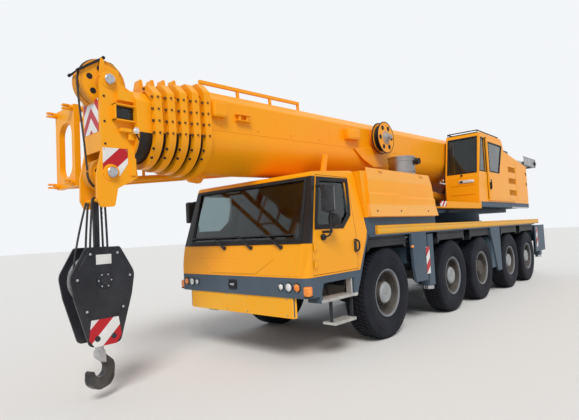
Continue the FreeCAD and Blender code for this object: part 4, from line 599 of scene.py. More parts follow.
amber_lens = lens("amber_lens", (0.86, 0.20, 0.012), (0.98, 0.36, 0.05), 34)
clear_lens = lens("clear_lens", (0.80, 0.82, 0.82), (0.52, 0.55, 0.58), 30)
for side, outward in both_sides:
    bm = bmesh.new()
    for y, radius, glass_index in ((1.180, 0.060, 1), (1.040, 0.064, 2), (0.905, 0.048, 2)):
        seat_at = Matrix.Translation((4.787, outward * y, 1.024)) @ Matrix.Rotation(math.radians(-90), 4, "Z")
        turned(bm, [(0.0, radius * 0.80), (0.0, radius), (0.012, radius), (0.018, radius * 0.94),
                    (0.018, radius * 0.86), (0.012, radius * 0.80)], 32, seat_at)
        turned(bm, [(0.004, 0.0), (0.004, radius * 0.82), (0.014, radius * 0.80), (0.024, radius * 0.5),
                    (0.0275, 0.0)], 32, seat_at, index=glass_index)
        for turn in range(3):
            angle = math.tau * turn / 3 + 0.5
            screw_y = outward * y + radius * 0.9 * math.cos(angle)
            stud(bm, (4.804, screw_y, 1.024 + radius * 0.9 * math.sin(angle)), (0.004, 0, 0), 0.005, index=3)
    block(bm, (4.690, outward * 1.268, 0.912), (4.792, outward * 1.362, 1.040), edge=0.026, index=1,
          segments=3)
    block(bm, (4.676, outward * 1.262, 0.900), (4.786, outward * 1.355, 0.916), edge=0.005)
    finished(f"front_lamps_{side}", bm, "chassis",
             [moulded_black, amber_lens, clear_lens, silvered])

# Bumper: the tow pocket in its middle, a square frame with a pin through it, and below the
# bumper the blank yellow sign board, an aluminium plate bolted on, its ends folded back.
sign_yellow = weathered("sign_yellow", (0.95, 0.42, 0.006), (0.90, 0.46, 0.03), (0.4, 0.55), patch=2,
                        dust=0.12)
pocket_y = -0.052
bm = bmesh.new()
mouth = ((-0.085, 0.95), (0.085, 0.95), (0.085, 1.09), (-0.085, 1.09))
frame_ring(bm, [(4.789, pocket_y + y, z) for y, z in mouth], 0.016, (0.014, 0, 0), edge=0.003)
block(bm, (4.780, pocket_y - 0.070, 0.965), (4.793, pocket_y + 0.070, 1.075), edge=0.002)
tube(bm, (4.799, -0.120, 1.020), (4.799, 0.016, 1.020), 0.020, 18, index=1, edge=0.003)
for y in (-0.118, 0.010):
    stud(bm, (4.799, y, 1.020), (0, 0.006, 0), 0.030, 18)
finished("bumper_tow_pocket", bm, "chassis", [moulded_black, ground_steel])
bm = bmesh.new()
slab(bm, [(4.772, -1.075, 0.622), (4.772, 1.075, 0.622), (4.772, 1.075, 0.892), (4.772, -1.075, 0.892)],
     (0.005, 0, 0), edge=0.0015)
for outward in (1, -1):
    slab(bm, [(x, outward * y, z) for x, y, z in ((4.7745, 1.073, 0.622), (4.738, 1.112, 0.628),
                                                  (4.738, 1.112, 0.886), (4.7745, 1.073, 0.892))],
         (0.003, outward * 0.003, 0), edge=0.001)
    for y in (0.22, 0.98):
        for z in (0.655, 0.865):
            stud(bm, (4.776, outward * y, z), (0.007, 0, 0), 0.011, index=1, edge=0.002)
finished("sign_board", bm, "chassis", [sign_yellow, ground_steel])

# Cab steps: extruded aluminium treads with raised studs, hung on flat bars below each door,
# and the bright post that carries them at the back.
alloy = weathered("alloy", (0.56, 0.55, 0.53), (0.40, 0.395, 0.38), (0.36, 0.55), metallic=0.55, patch=5,
                  grain=70, bump=0.03, dust=0.3)
skirt_paint = slate
for part, colour, front_x, heights in (
    ("", (0.56, 0.55, 0.53), 4.515, (0.792, 0.836)), ("_low", (0.56, 0.55, 0.53), 4.40, (0.46, 0.505)),
    ("_hangers", (0.03, 0.035, 0.042), 4.40, (0.505, 0.792)),
):
    skirt_paint = zone(skirt_paint, "skirt_paint" + part, colour, x=(-99, front_x), y=(1.12, 99), z=heights)
dress(skirt_paint, "front_skirt")
stud_pitch = 0.045
for side, outward in both_sides:
    bm = bmesh.new()
    for low_x, high_x, top in ((3.765, 4.505, 0.831), (3.765, 4.250, 0.501)):
        block(bm, (low_x, outward * 1.142, top - 0.002), (high_x, outward * 1.350, top + 0.004), edge=0.002)
        block(bm, (low_x, outward * 1.346, top - 0.034), (high_x, outward * 1.354, top + 0.006), edge=0.002)
        for row in range(5):
            for step in range(round((high_x - low_x) / stud_pitch)):
                stud_x = low_x + 0.024 + step * stud_pitch + (row % 2) * 0.01
                stud(bm, (stud_x, outward * (1.168 + row * 0.039), top + 0.003), (0, 0, 0.006), 0.009,
                     end_radius=0.006)
    block(bm, (3.812, outward * 1.255, 0.832), (3.840, outward * 1.346, 1.045))
    finished(f"cab_steps_{side}", bm, "chassis", [alloy])

# Engine hood sides: pressed steel doors with a stepped crease along their middle and a lower
# edge that flares out. They hang on the hood's frame and are painted with it, with painted highlights on the
# upper chamfer and the flared lower edge.
bm = bmesh.new()
for outward in (1, -1):
    profile = ((1.341, 2.648), (1.346, 2.648), (1.374, 2.465), (1.370, 2.270), (1.389, 2.246), (1.383, 2.088),
               (1.408, 1.904), (1.341, 1.904))
    side = slab(bm, [(3.298, outward * y, z) for y, z in profile], (-2.16, 0, 0))
    for crease_x in (2.444, 2.285):
        cut_geom = dict.fromkeys(item for face in side for item in (face, *face.edges, *face.verts))
        bmesh.ops.bisect_plane(bm, geom=list(cut_geom), dist=1e-5, plane_co=(crease_x, 0, 0),
                               plane_no=(1, 0, 0))
        side = [face for face in bm.faces if face.calc_center_median().y * outward > 0]
    for vert in {vert for face in side for vert in face.verts}:
        if vert.co.x < 2.3 and 2.24 < vert.co.z < 2.27:
            vert.co.z -= 0.045
        if vert.co.x < 1.2:
            vert.co.x = 1.150 - (2.65 - vert.co.z) * 0.271
    for hinge_x in (1.5, 2.9):
        block(bm, (hinge_x - 0.05, outward * 1.345, 2.600), (hinge_x + 0.05, outward * 1.378, 2.630))
    for latch_x in (1.35, 2.36, 3.1):
        stud(bm, (latch_x, outward * 1.388, 1.985), (0, outward * 0.014, 0), 0.017, 16, index=1, edge=0.003)
hood_colour_and_sheen = weathered("hood_enamel", (0.93, 0.345, 0.003), (0.90, 0.385, 0.012), (0.28, 0.42), patch=0.9,
                       coat=0.08)
# Painted highlights: the flared lower edge and the upper chamfer take paler copies of the enamel, standing
# for the sky's sheen on these faces.
hood_colour_and_sheen = zone(hood_colour_and_sheen, "hood_sheen_painted_low", (0.95, 0.44, 0.07), z=(1.80, 2.088))
hood_colour_and_sheen = zone(hood_colour_and_sheen, "hood_sheen_painted_top", (0.95, 0.41, 0.05), z=(2.463, 2.70))
finished("hood_side_doors", bm, "chassis", [hood_colour_and_sheen, moulded_black])

# Deck edge: a folded yellow kick rail, bolted along both sides of the slate side panels. The plain
# slate band above it is what the hood's lower edge closes on.
panel_paint = zone(slate, "panel_rail", (0.78, 0.37, 0.015), x=(-6.52, 3.075), y=(1.3195, 99),
                   z=(1.626, 1.768))
dress(panel_paint, "side_panels")
bm = bmesh.new()
for outward in (1, -1):
    profile = ((1.349, 1.634), (1.360, 1.640), (1.362, 1.700), (1.354, 1.708), (1.354, 1.722), (1.361, 1.730),
               (1.359, 1.752), (1.349, 1.758))
    slab(bm, [(3.062, outward * y, z) for y, z in profile], (-9.56, 0, 0), edge=0.0015)
    for step in range(20):
        stud(bm, (2.9 - step * 0.48, outward * 1.360, 1.672), (0, outward * 0.005, 0), 0.010, index=1)
rail_yellow = weathered("rail_yellow", (0.78, 0.37, 0.012), (0.66, 0.36, 0.05), (0.34, 0.5), patch=1.5,
                        dust=0.15)
finished("deck_rails", bm, "chassis", [rail_yellow, ground_steel])

# Hazard plates: reflective red and white sheet on thin aluminium, riveted upright to the legs of
# the outriggers. An amber marker lamp sits on the box in front of each front leg.
def striped(name, first, second, lean, width):
    plate = weathered(name, first, [part * 0.85 for part in first], (0.3, 0.45), patch=6, grain=140,
                      dust=0.12)
    return zone(plate, name + "_stripes", second, stripe=(*lean, width))


hazard_side = striped("hazard_side", (0.78, 0.78, 0.76), (0.52, 0.012, 0.02), (1.0, 0.0, 1.15), 0.17)
for side, outward in both_sides:
    for end, low_x, high_x, low_z, high_z, rivets in (
        ("front", 1.316, 1.452, 0.862, 1.345, (0.885, 1.10, 1.322)),
        ("rear", -6.30, -6.16, 0.90, 1.50, (0.93, 1.47)),
    ):
        bm = bmesh.new()
        side_plate(bm, outward * 1.3505, outward * 0.004,
                   ((low_x, low_z), (high_x, low_z), (high_x, high_z), (low_x, high_z)), edge=0.001)
        for z in rivets:
            stud(bm, ((low_x + high_x) / 2, outward * 1.3545, z), (0, outward * 0.004, 0), 0.007, 8, index=1)
        finished(f"hazard_plate_{end}_{side}", bm, f"outrigger_{end}_{side}",
                 [hazard_side, ground_steel])
    bm = bmesh.new()
    block(bm, (1.940, outward * 1.350, 1.362), (2.020, outward * 1.372, 1.402), edge=0.007, segments=2)
    finished(f"side_marker_{side}", bm, "chassis", [amber_lens, moulded_black])

# Mudguards: arched black rubber aprons with pressed ribs, hung over the wheels on steel hoops
# and bolted up under the side panels.
guard_rubber = weathered("guard_rubber", (0.014, 0.015, 0.019), (0.032, 0.033, 0.038), (0.40, 0.56), patch=2,
                         dust=0.10)
guard_rubber.node_tree.nodes["Bump"].inputs["Distance"].default_value = 0.02
dress(ribbed(guard_rubber, "Z", 7, 0.9), "mudguards")

# Slewing platform: slate weldment, with the yellow catwalk in front of the crane cab and the
# red and white end of its kick plate.
plate_end = {"x": (0.345, 0.62), "y": (1.29, 99), "z": (2.085, 99)}
deck_paint = zone(slate, "catwalk_yellow", (0.93, 0.37, 0.01), x=(-1.64, 99), y=(0.985, 99), z=(2.05, 99))
deck_paint = zone(deck_paint, "catwalk_ground", (0.80, 0.79, 0.76), **plate_end)
deck_paint = zone(deck_paint, "catwalk_end", (0.52, 0.012, 0.02), **plate_end, stripe=(1.0, 0.0, 1.0, 0.075))
dress(deck_paint, "slewing_platform")

# Muffler: an upright stainless drum beside the hood, with rolled rims, two clamp bands and a
# black outlet pipe that turns out to the side.
bm = bmesh.new()
drum_at = Matrix.Translation((1.400, 0.950, 0)) @ Matrix.Rotation(math.radians(90), 4, "X")
for z in (2.72, 2.93):
    turned(bm, [(z, 0.236), (z, 0.2475), (z + 0.004, 0.251), (z + 0.026, 0.251), (z + 0.030, 0.2475),
                (z + 0.030, 0.236)], 48, drum_at)
    block(bm, (1.385, 1.195, z + 0.002), (1.415, 1.222, z + 0.028), edge=0.003)
turned(bm, [(3.0, 0.0), (3.018, 0.0), (3.0175, 0.21), (3.014, 0.232), (3.020, 0.240), (3.024, 0.247),
            (3.018, 0.2545), (3.008, 0.2555), (2.998, 0.253), (2.998, 0.24)], 48, drum_at)
outlet_at = Matrix.Translation((1.310, 0, 2.926))
turned(bm, [(1.196, 0.054), (1.196, 0.066), (1.212, 0.066), (1.212, 0.0575), (1.258, 0.0575), (1.264, 0.060),
            (1.268, 0.056), (1.264, 0.049), (1.20, 0.047)], 32, outlet_at, index=1)
turned(bm, [(1.250, 0.0), (1.252, 0.0), (1.252, 0.052), (1.250, 0.052)], 32, outlet_at, index=1)
stainless = weathered("stainless", (0.40, 0.38, 0.375), (0.28, 0.265, 0.26), (0.24, 0.40), metallic=1.0,
                      patch=3, grain=120, bump=0.02)
sooty = weathered("sooty_steel", (0.035, 0.032, 0.030), (0.08, 0.06, 0.045), (0.5, 0.7), metallic=0.4,
                  patch=9)
dress(stainless, "muffler")
finished("muffler_bands", bm, "chassis", [stainless, sooty])

# Crane cab: a tall narrow steel cab. Its panes sit in black rubber, the door slides on a rail,
# and the roof carries a guard bar. A lamp and its switch box sit on the front below the glass.
crane_cab_paint = lined(yellow, "crane_cab_lined", (-2.60, 0.93, 3.05))
dress(crane_cab_paint, "crane_cab")
bm = bmesh.new()
bm.from_mesh(nodes["crane_cab_door"].data)
bmesh.ops.remove_doubles(bm, verts=bm.verts, dist=1e-5)
for face in bm.faces:
    face.material_index = all(1.3405 < vert.co.y < 1.3515 for vert in face.verts)
finished("crane_door", bm, "crane_cab_door", [crane_cab_paint, glass], ["crane_cab_door"])

sill_z = 2.822
cab_lean = (1.808 - 1.593) / (3.885 - sill_z)


def cab_front(y, z, proud=0.0):
    return Vector((-1.593 - cab_lean * (z - sill_z) + proud, y, z))


bm = bmesh.new()
lean_out = Vector((1, 0, cab_lean)).normalized()
front_pane = ((0.572, 2.906), (1.283, 2.906), (1.283, 3.79), (0.572, 3.79))
frame_ring(bm, [cab_front(y, z, 0.001) for y, z in front_pane], 0.034, lean_out * 0.010, edge=0.003)
side_pane = ((-1.655, 2.944), (-1.868, 3.775), (-2.141, 3.775), (-2.141, 2.944))
frame_ring(bm, [(x, 1.326, z) for x, z in side_pane], 0.026, (0, 0.004, 0), edge=0.0015)
frame_ring(bm, [(x, 0.529, z) for x, z in side_pane[:1] + side_pane[:0:-1]], 0.026, (0, -0.008, 0),
           edge=0.002)
low, tip = cab_front(0.93, 2.925, 0.022), cab_front(0.66, 3.42, 0.022)
tube(bm, cab_front(0.93, 2.868, 0.004), cab_front(0.93, 2.868, 0.040), 0.022, 16, edge=0.004)
slab(bm, [low + Vector((0, -0.012, 0)), low + Vector((0, 0.012, 0)), tip + Vector((0, 0.006, 0)),
          tip + Vector((0, -0.006, 0))], lean_out * 0.010, edge=0.002)
slab(bm, [cab_front(y, z, 0.012) for y, z in ((0.632, 3.10), (0.646, 3.10), (0.672, 3.66), (0.658, 3.66))],
     lean_out * 0.010, edge=0.002)
finished("crane_cab_seals", bm, "superstructure", [rubber_seal])

bm = bmesh.new()
door_pane = ((-2.252, 2.951), (-2.252, 3.695), (-3.316, 3.695), (-2.985, 2.951))
frame_ring(bm, [(x, 1.361, z) for x, z in door_pane], 0.030, (0, 0.006, 0), edge=0.002, index=1)
block(bm, (-2.255, 1.360, 2.52), (-2.205, 1.392, 2.70), edge=0.008, index=1, segments=2)
tube(bm, (-2.23, 1.40, 2.55), (-2.23, 1.40, 2.76), 0.010, 12, index=1, edge=0.003)
for z in (2.55, 2.75):
    tube(bm, (-2.23, 1.362, z), (-2.23, 1.404, z), 0.008, 10, index=1)
side_plate(bm, 1.3605, 0.005, ((-2.215, 2.310), (-2.215, 2.86), (-3.50, 2.86), (-3.50, 2.310)), edge=0.004)
finished("crane_door_trim", bm, "crane_cab_door", [yellow, rubber_seal])

bm = bmesh.new()
roof_rail_z = 3.930
rim = [(-1.80, 0.575), (-1.80, 1.28), (-3.30, 1.28), (-3.30, 0.575)]
for (x1, y1), (x2, y2) in zip(rim, rim[1:] + rim[:1]):
    tube(bm, (x1, y1, roof_rail_z), (x2, y2, roof_rail_z), 0.013, 12, edge=0.002)
for x, y in rim + [(-2.5, 1.28), (-2.5, 0.575)]:
    tube(bm, (x - 0.02, y, 3.872), (x, y, roof_rail_z), 0.010, 10)
block(bm, (-2.62, 0.80, 3.880), (-2.22, 1.05, 3.915), edge=0.012, segments=2)
block(bm, (-1.93, 0.60, 3.878), (-1.82, 1.25, 3.895), edge=0.006)
finished("crane_cab_roof_bars", bm, "superstructure", [black_paint])

bm = bmesh.new()
tube(bm, (-1.512, 0.575, 2.30), (-1.512, 0.575, 2.80), 0.013, 12, edge=0.003)
for z in (2.33, 2.77):
    tube(bm, (-1.56, 0.575, z), (-1.508, 0.575, z), 0.010, 10)
for z in (2.40, 2.62):
    crease = [(-1.529 - (z - 2.222) * 0.1, y, z + rise) for y, rise in ((0.66, 0), (1.25, 0), (1.25, 0.012),
                                                                        (0.66, 0.012))]
    frame_ring(bm, crease, 0.004, (0.004, 0, 0))
finished("crane_cab_handrail", bm, "superstructure", [yellow])
bm = bmesh.new()
lamp_z = 2.712
front_x = -1.533 - (lamp_z - 2.222) * 0.1
block(bm, (front_x - 0.006, 0.862, lamp_z - 0.036), (front_x + 0.022, 1.208, lamp_z + 0.036), edge=0.012,
      segments=3)
block(bm, (front_x + 0.018, 0.885, lamp_z - 0.024), (front_x + 0.028, 0.958, lamp_z + 0.024), index=1)
block(bm, (front_x + 0.018, 0.975, lamp_z - 0.024), (front_x + 0.028, 1.185, lamp_z + 0.024))
block(bm, (front_x - 0.02, 0.40, 2.74), (front_x + 0.03, 0.50, 2.83), edge=0.012, index=2, segments=2)
tube(bm, (front_x - 0.01, 0.47, 2.78), (front_x - 0.01, 0.56, 2.78), 0.012, 10, index=1)
finished("crane_cab_lamp", bm, "superstructure", [clear_lens, moulded_black, silvered])

# Machinery housing: folded sheet lockers with a louvred front one and a door at the back. Lifting
# eyes stand on top, and hoses and valves lie between the lockers behind the boom's foot.
def housing_top(x):
    return 3.590 - (x + 3.614) * (3.590 - 3.322) / (3.614 - 5.675)


bm = bmesh.new()
side_plate(bm, 1.3245, 0.007, ((-5.62, 2.29), (-4.56, 2.29), (-4.56, housing_top(-4.56) - 0.06),
                               (-5.62, housing_top(-5.62) - 0.06)), edge=0.005)
for z in (2.8, 3.1):
    block(bm, (-5.56, 1.330, z - 0.045), (-5.52, 1.345, z + 0.045), edge=0.005, index=1)
for z in (2.430, 2.750, 3.060):
    louvre = ((-4.526, z - 0.012), (-3.852, z - 0.012), (-3.852, z + 0.162), (-4.526, z + 0.162))
    frame_ring(bm, [(x, 1.3225, ring_z) for x, ring_z in louvre], 0.016, (0, 0.0035, 0), edge=0.001)
    for step in range(4):
        height = z + 0.018 + step * 0.036
        slab(bm, [(-4.505, 1.322, height), (-3.873, 1.322, height), (-3.873, 1.296, height + 0.030),
                  (-4.505, 1.296, height + 0.030)], (0, 0.002, 0.002))
for x in (-3.85, -5.35):
    for y in (0.75, 1.15):
        block(bm, (x - 0.05, y - 0.012, housing_top(x) - 0.02), (x + 0.05, y + 0.012, housing_top(x) + 0.055),
              edge=0.008)
side_plate(bm, 1.3265, 0.004, ((-4.00, 2.075), (-5.55, 2.075), (-5.55, 2.115), (-4.00, 2.115)), edge=0.001,
           index=2)
finished("housing_doors", bm, "superstructure", [yellow, black_paint, alloy])

bm = bmesh.new()
for y, reach in ((0.60, 0.10), (0.66, 0.16), (0.73, 0.22)):
    pipe(bm, [(-3.66, y, 3.585), (-3.75, y, 3.66 + reach), (-4.3, y + 0.02, 3.62 + reach),
              (-4.9, y, 3.55 + reach), (-5.5, y, 3.36)], 0.021)
block(bm, (-4.35, 0.82, 3.40), (-3.85, 1.22, 3.68), edge=0.02, index=1, segments=2)
for step in range(5):
    stud(bm, (-4.28 + step * 0.09, 1.02, 3.68), (0, 0, 0.07), 0.016, 10, index=2, edge=0.003)
tube(bm, (-4.85, 0.95, 3.36), (-4.85, 0.95, 3.66), 0.10, 24, index=2, edge=0.012)
tube(bm, (-4.85, 0.95, 3.66), (-4.85, 0.95, 3.70), 0.045, 16, edge=0.006)
block(bm, (-5.62, 0.72, 3.26), (-5.15, 1.26, 3.50), edge=0.02, index=2, segments=2)
finished("housing_hoses", bm, "superstructure", [rubber_seal, slate, ground_steel])

# Hoist winch: two painted steel arms carry the drum at the tail, wound with bright wire rope
# between turned flanges, with a bolted bearing cap at each end.
rope_steel = weathered("wire_rope", (0.30, 0.30, 0.31), (0.14, 0.14, 0.145), (0.35, 0.5), metallic=0.8,
                       patch=8, grain=160, bump=0.08, dust=0.1)
drum_at = Matrix.Translation((-6.130, 0, 3.250))
bm = bmesh.new()
lay = []
for step in range(26):
    y = -0.390 + step * 0.030
    lay += [(y, 0.262), (y + 0.006, 0.276), (y + 0.015, 0.284), (y + 0.024, 0.276)]
turned(bm, lay + [(0.390, 0.262), (0.390, 0.250), (-0.390, 0.250)], 40, drum_at)
finished("winch_rope", bm, "superstructure", [rope_steel])
bm = bmesh.new()
for y in (-0.448, 0.418):
    turned(bm, [(y, 0.335), (y, 0.352), (y + 0.004, 0.355), (y + 0.026, 0.355), (y + 0.030, 0.352),
                (y + 0.030, 0.335)], 40, drum_at)
for outward in (1, -1):
    bolt_circle(bm, drum_at, 8, 0.13, outward * 0.495, outward * 0.022, 0.018, index=1, edge=0.003)
    tube(bm, (-6.13, outward * 0.495, 3.25), (-6.13, outward * 0.530, 3.25), 0.075, 24, index=1, edge=0.008)
finished("winch_flanges", bm, "superstructure", [black_paint, ground_steel])
winch_paint = weathered("winch_paint", (0.34, 0.35, 0.36), (0.22, 0.22, 0.22), (0.4, 0.55), patch=2, dust=0.2)
dress(winch_paint, "hoist_winch")

# Boom: a welded box of flat top and round belly, and five smaller sections that slide out of it.
# Each ends in a stiff collar, where wear pads are held by bolts, and just in front of it the next section is
# near black along its lower part.
boom_place = Matrix.Translation((-4.950, 0, 3.270)) @ Matrix.Rotation(math.radians(2), 4, "Y")


def boom(u, y, w):
    return boom_place @ Vector((u, y, w))


def boom_bolt(bm, u, end_u, y, w, radius, index=0):
    tube(bm, boom(u, y, w), boom(end_u, y, w), radius, 6, index=index, edge=0.003)


collar_low_black = (0.012, 0.011, 0.010)
collar_step = 0.160
section_step = 0.026
pad_bolt = weathered("pad_bolt", (0.17, 0.085, 0.028), (0.06, 0.04, 0.025), (0.5, 0.7), metallic=0.3, patch=9)
# Near-black colour on each section's lower part, just in front of the collar it slides out of.
for number in range(1, 6):
    rear_u = 10.550 + collar_step * (number - 1)
    front_u = rear_u + (0.170 if number == 5 else 0.070)
    greased = zone(yellow, f"section_enamel_{number}", collar_low_black, slope=-0.03492, z=(-99, 3.02 - 0.012 * number),
                   x=(rear_u / 0.99939 - 5.0642, front_u / 0.99939 - 5.0642))
    dress(greased, f"boom_section_{number}")
for number, body in enumerate(("boom", "section_1", "section_2", "section_3", "section_4")):
    bm = bmesh.new()
    front_u = 10.555 + collar_step * number
    half = 0.465 - section_step * number
    top = 0.714 - section_step * number
    for outward in (1, -1):
        for w in (0.50, 0.36, 0.22, 0.08):
            boom_bolt(bm, front_u - 0.004, front_u + 0.024, (half + 0.026) * outward, w, 0.017)
            tube(bm, boom(front_u - 0.05, outward * (half + 0.050), w),
                 boom(front_u - 0.05, outward * (half + 0.068), w), 0.014, 6, edge=0.003)
        for w, inset in ((-0.10, 0.03), (-0.20, 0.085)):
            boom_bolt(bm, front_u - 0.004, front_u + 0.022, (half + 0.020 - inset) * outward, w, 0.015,
                      index=1)
        boom_bolt(bm, front_u - 0.004, front_u + 0.022, outward * 0.22, top + 0.024, 0.016)
    finished(f"collar_bolts_{number + 1}", bm, body, [pad_bolt, black_paint])

bm = bmesh.new()
for outward in (1, -1):
    side_y = outward * 0.4645
    slab(bm,
         [boom(u, side_y, w) for u, w in ((-0.30, 0.176), (10.44, 0.176), (10.44, 0.188), (-0.30, 0.188))],
         (0, outward * 0.004, 0), edge=0.0012)
    for u in (2.4, 4.9, 7.9, 9.2):
        slab(bm, [boom(u, side_y, 0.20), boom(u, side_y, 0.56), boom(u + 0.010, side_y, 0.56),
                  boom(u + 0.010, side_y, 0.20)], (0, outward * 0.003, 0))
    for u in (8.2, 8.9, 9.6, 10.25):
        stud(bm, boom(u, outward * 0.466, 0.245), (0, outward * 0.012, 0), 0.012, 10, edge=0.002)
    block(bm, (10.215, outward * 0.462, 0.34), (10.435, outward * 0.560, 0.53), edge=0.014, segments=2,
          place=boom_place)
    block(bm, (10.235, outward * 0.561 - 0.003, 0.36), (10.415, outward * 0.561 + 0.003, 0.51), edge=0.003,
          place=boom_place)
for low, high, edge, segments in (
    ((9.76, 0.462, 0.335), (10.02, 0.530, 0.350), 0.004, 1),
    ((9.76, 0.462, 0.415), (10.02, 0.530, 0.430), 0.004, 1),
    ((9.80, 0.464, 0.345), (9.84, 0.510, 0.420), 0.004, 1),
    ((9.94, 0.464, 0.345), (9.98, 0.510, 0.420), 0.004, 1),
    ((7.10, 0.462, 0.31), (7.48, 0.570, 0.50), 0.012, 2),
    ((7.14, 0.566, 0.34), (7.30, 0.576, 0.47), 0.003, 1),
):
    block(bm, low, high, edge=edge, segments=segments, place=boom_place)
slab(bm,
     [boom(u, 0.470, w) for u, w in ((7.22, 0.16), (6.95, -0.02), (6.60, -0.16), (6.25, -0.14), (6.22, 0.14),
                                     (6.66, 0.24))], (0, 0.028, 0), edge=0.008)
finished("boom_fittings", bm, "boom", [yellow])

bm = bmesh.new()
reel_at = boom_place @ Matrix.Translation((6.4, 0, 0.4))
hose = []
for step in range(5):
    y = 0.5745 + step * 0.0208
    hose += [(y, 0.232), (y + 0.003, 0.243), (y + 0.0104, 0.248), (y + 0.0178, 0.243)]
turned(bm, hose + [(0.6785, 0.232), (0.6785, 0.105), (0.5735, 0.105)], 40, reel_at)
for inner, outer in ((0.556, 0.576), (0.676, 0.696)):
    turned(bm,
           [(inner, 0.290), (inner, 0.300), (inner + 0.004, 0.305), (outer - 0.004, 0.305), (outer, 0.300),
            (outer, 0.290)], 44, reel_at, index=1)
turned(bm, [(0.690, 0.0), (0.690, 0.13), (0.702, 0.125), (0.706, 0.085), (0.730, 0.075), (0.738, 0.05),
            (0.80, 0.046), (0.812, 0.034), (0.812, 0.0)], 32, reel_at, index=2)
bolt_circle(bm, reel_at, 6, 0.105, 0.702, 0.012, 0.011, index=3, edge=0.002)
bolt_circle(bm, reel_at, 6, 0.205, 0.6925, 0.003, 0.045, sides=20)
finished("boom_cable_reel", bm, "boom", [rubber_seal, black_paint, winch_paint, ground_steel])

# Boom head: two side plates welded to the last section carry the rope sheaves. Cast sheave rims,
# axle caps, a rope guard, a work lamp and red and white warning plates are bolted on.
sheave_paint = weathered("sheave_paint", (0.80, 0.30, 0.012), (0.55, 0.23, 0.02), (0.35, 0.5), patch=4,
                         dust=0.1)
bm = bmesh.new()
for z, radius in ((3.520, 0.260), (2.484, 0.170)):
    at_axle = Matrix.Translation((6.700, 0, z))
    for y in (-0.055, 0.055):
        groove = ((0.043, -0.022), (0.043, 0.004), (0.038, 0.008), (0.030, 0.008), (0.014, 0.0015))
        turned(bm, [(y - reach, radius + rise) for reach, rise in groove]
               + [(y + reach, radius + rise) for reach, rise in reversed(groove)], 48, at_axle)
        for outward in (1, -1):
            face = y + outward * 0.040
            turned(bm, [(face - outward * 0.002, 0.062), (face + outward * 0.007, 0.064),
                        (face + outward * 0.007, 0.092), (face - outward * 0.002, 0.098)], 32, at_axle)
            bolt_circle(bm, at_axle, 6, radius * 0.62, face - outward * 0.001, outward * 0.004, radius * 0.13,
                        sides=18, index=1, first=0.3)
    for outward in (1, -1):
        cap_y = outward * 0.258
        turned(bm, [(cap_y, 0.0), (cap_y, 0.058), (cap_y + outward * 0.010, 0.060),
                    (cap_y + outward * 0.020, 0.050), (cap_y + outward * 0.024, 0.0)], 28, at_axle, index=2)
        turned(bm, [(outward * 0.224, 0.050), (outward * 0.224, 0.095), (outward * 0.234, 0.092),
                    (outward * 0.238, 0.050)], 28, at_axle, index=3)
        bolt_circle(bm, at_axle, 3, 0.035, outward * 0.280, outward * 0.008, 0.007, index=2)
finished("head_sheaves", bm, "section_5", [sheave_paint, black_paint, ground_steel, yellow])

bm = bmesh.new()
for outward in (1, -1):
    for y, thick, edge, index, outline in (
        (0.108, 0.014, 0.003, 0, ((6.735, 3.72), (6.53, 3.70), (6.50, 3.55), (6.545, 3.42), (6.66, 3.46),
                                  (6.745, 3.60))),
        (0.112, 0.012, 0.003, 0, ((6.66, 3.60), (6.70, 3.80), (6.74, 3.80), (6.76, 3.58))),
        (0.222, 0.020, 0.004, 0, ((6.405, 2.66), (6.475, 2.66), (6.475, 2.46), (6.405, 2.46))),
        (0.112, 0.010, 0.002, 1, ((6.695, 3.79), (6.705, 3.82), (6.990, 3.612), (6.98, 3.588))),
    ):
        side_plate(bm, outward * y, outward * thick, outline, edge, index)
    for x, z, radius in ((6.70, 3.805, 0.020), (6.985, 3.600, 0.018)):
        tube(bm, (x, outward * 0.090, z), (x, outward * 0.128, z), radius, 16, index=1, edge=0.003)
for x, z in ((6.70, 3.805), (6.985, 3.600)):
    tube(bm, (x, -0.128, z), (x, 0.128, z), 0.010, 10, index=1)
for low, high, edge, index in (
    ((6.404, 0.222, 3.065), (6.672, 0.300, 3.082), 0.003, 0),
    ((6.404, 0.222, 3.238), (6.672, 0.300, 3.255), 0.003, 0),
    ((6.404, 0.222, 3.065), (6.421, 0.300, 3.255), 0.003, 0),
    ((6.655, 0.222, 3.065), (6.672, 0.300, 3.255), 0.003, 0),
    ((6.42, 0.222, 3.08), (6.66, 0.250, 3.24), 0.003, 1),
    ((6.44, 0.248, 3.10), (6.64, 0.262, 3.22), 0.006, 2),
    ((6.395, 0.222, 2.945), (6.600, 0.285, 2.99), 0.006, 0),
    ((6.42, 0.222, 2.86), (6.50, 0.270, 2.95), 0.008, 0),
):
    block(bm, low, high, edge=edge, index=index)
tube(bm, (6.447, 0.225, 2.963), (6.447, 0.345, 2.963), 0.038, 20, index=3, edge=0.008)
tube(bm, (6.447, 0.345, 2.963), (6.447, 0.365, 2.963), 0.022, 16, index=3, edge=0.004)
pipe(bm,
     [(6.447, 0.33, 2.94), (6.42, 0.33, 2.86), (6.36, 0.31, 2.88), (6.31, 0.30, 2.99), (6.33, 0.28, 3.06)],
     0.008, index=1)
pipe(bm, [(6.44, 0.25, 3.20), (6.38, 0.27, 3.19), (6.33, 0.28, 3.10), (6.34, 0.29, 3.00), (6.43, 0.31, 2.98)],
     0.007, index=1)
for x, z in ((6.76, 3.33), (6.76, 3.05), (6.76, 2.80), (6.33, 3.40)):
    stud(bm, (x, 0.222, z), (0, 0.012, 0), 0.013, index=1, edge=0.002)
finished("head_fittings", bm, "section_5", [yellow, black_paint, glass, silvered])

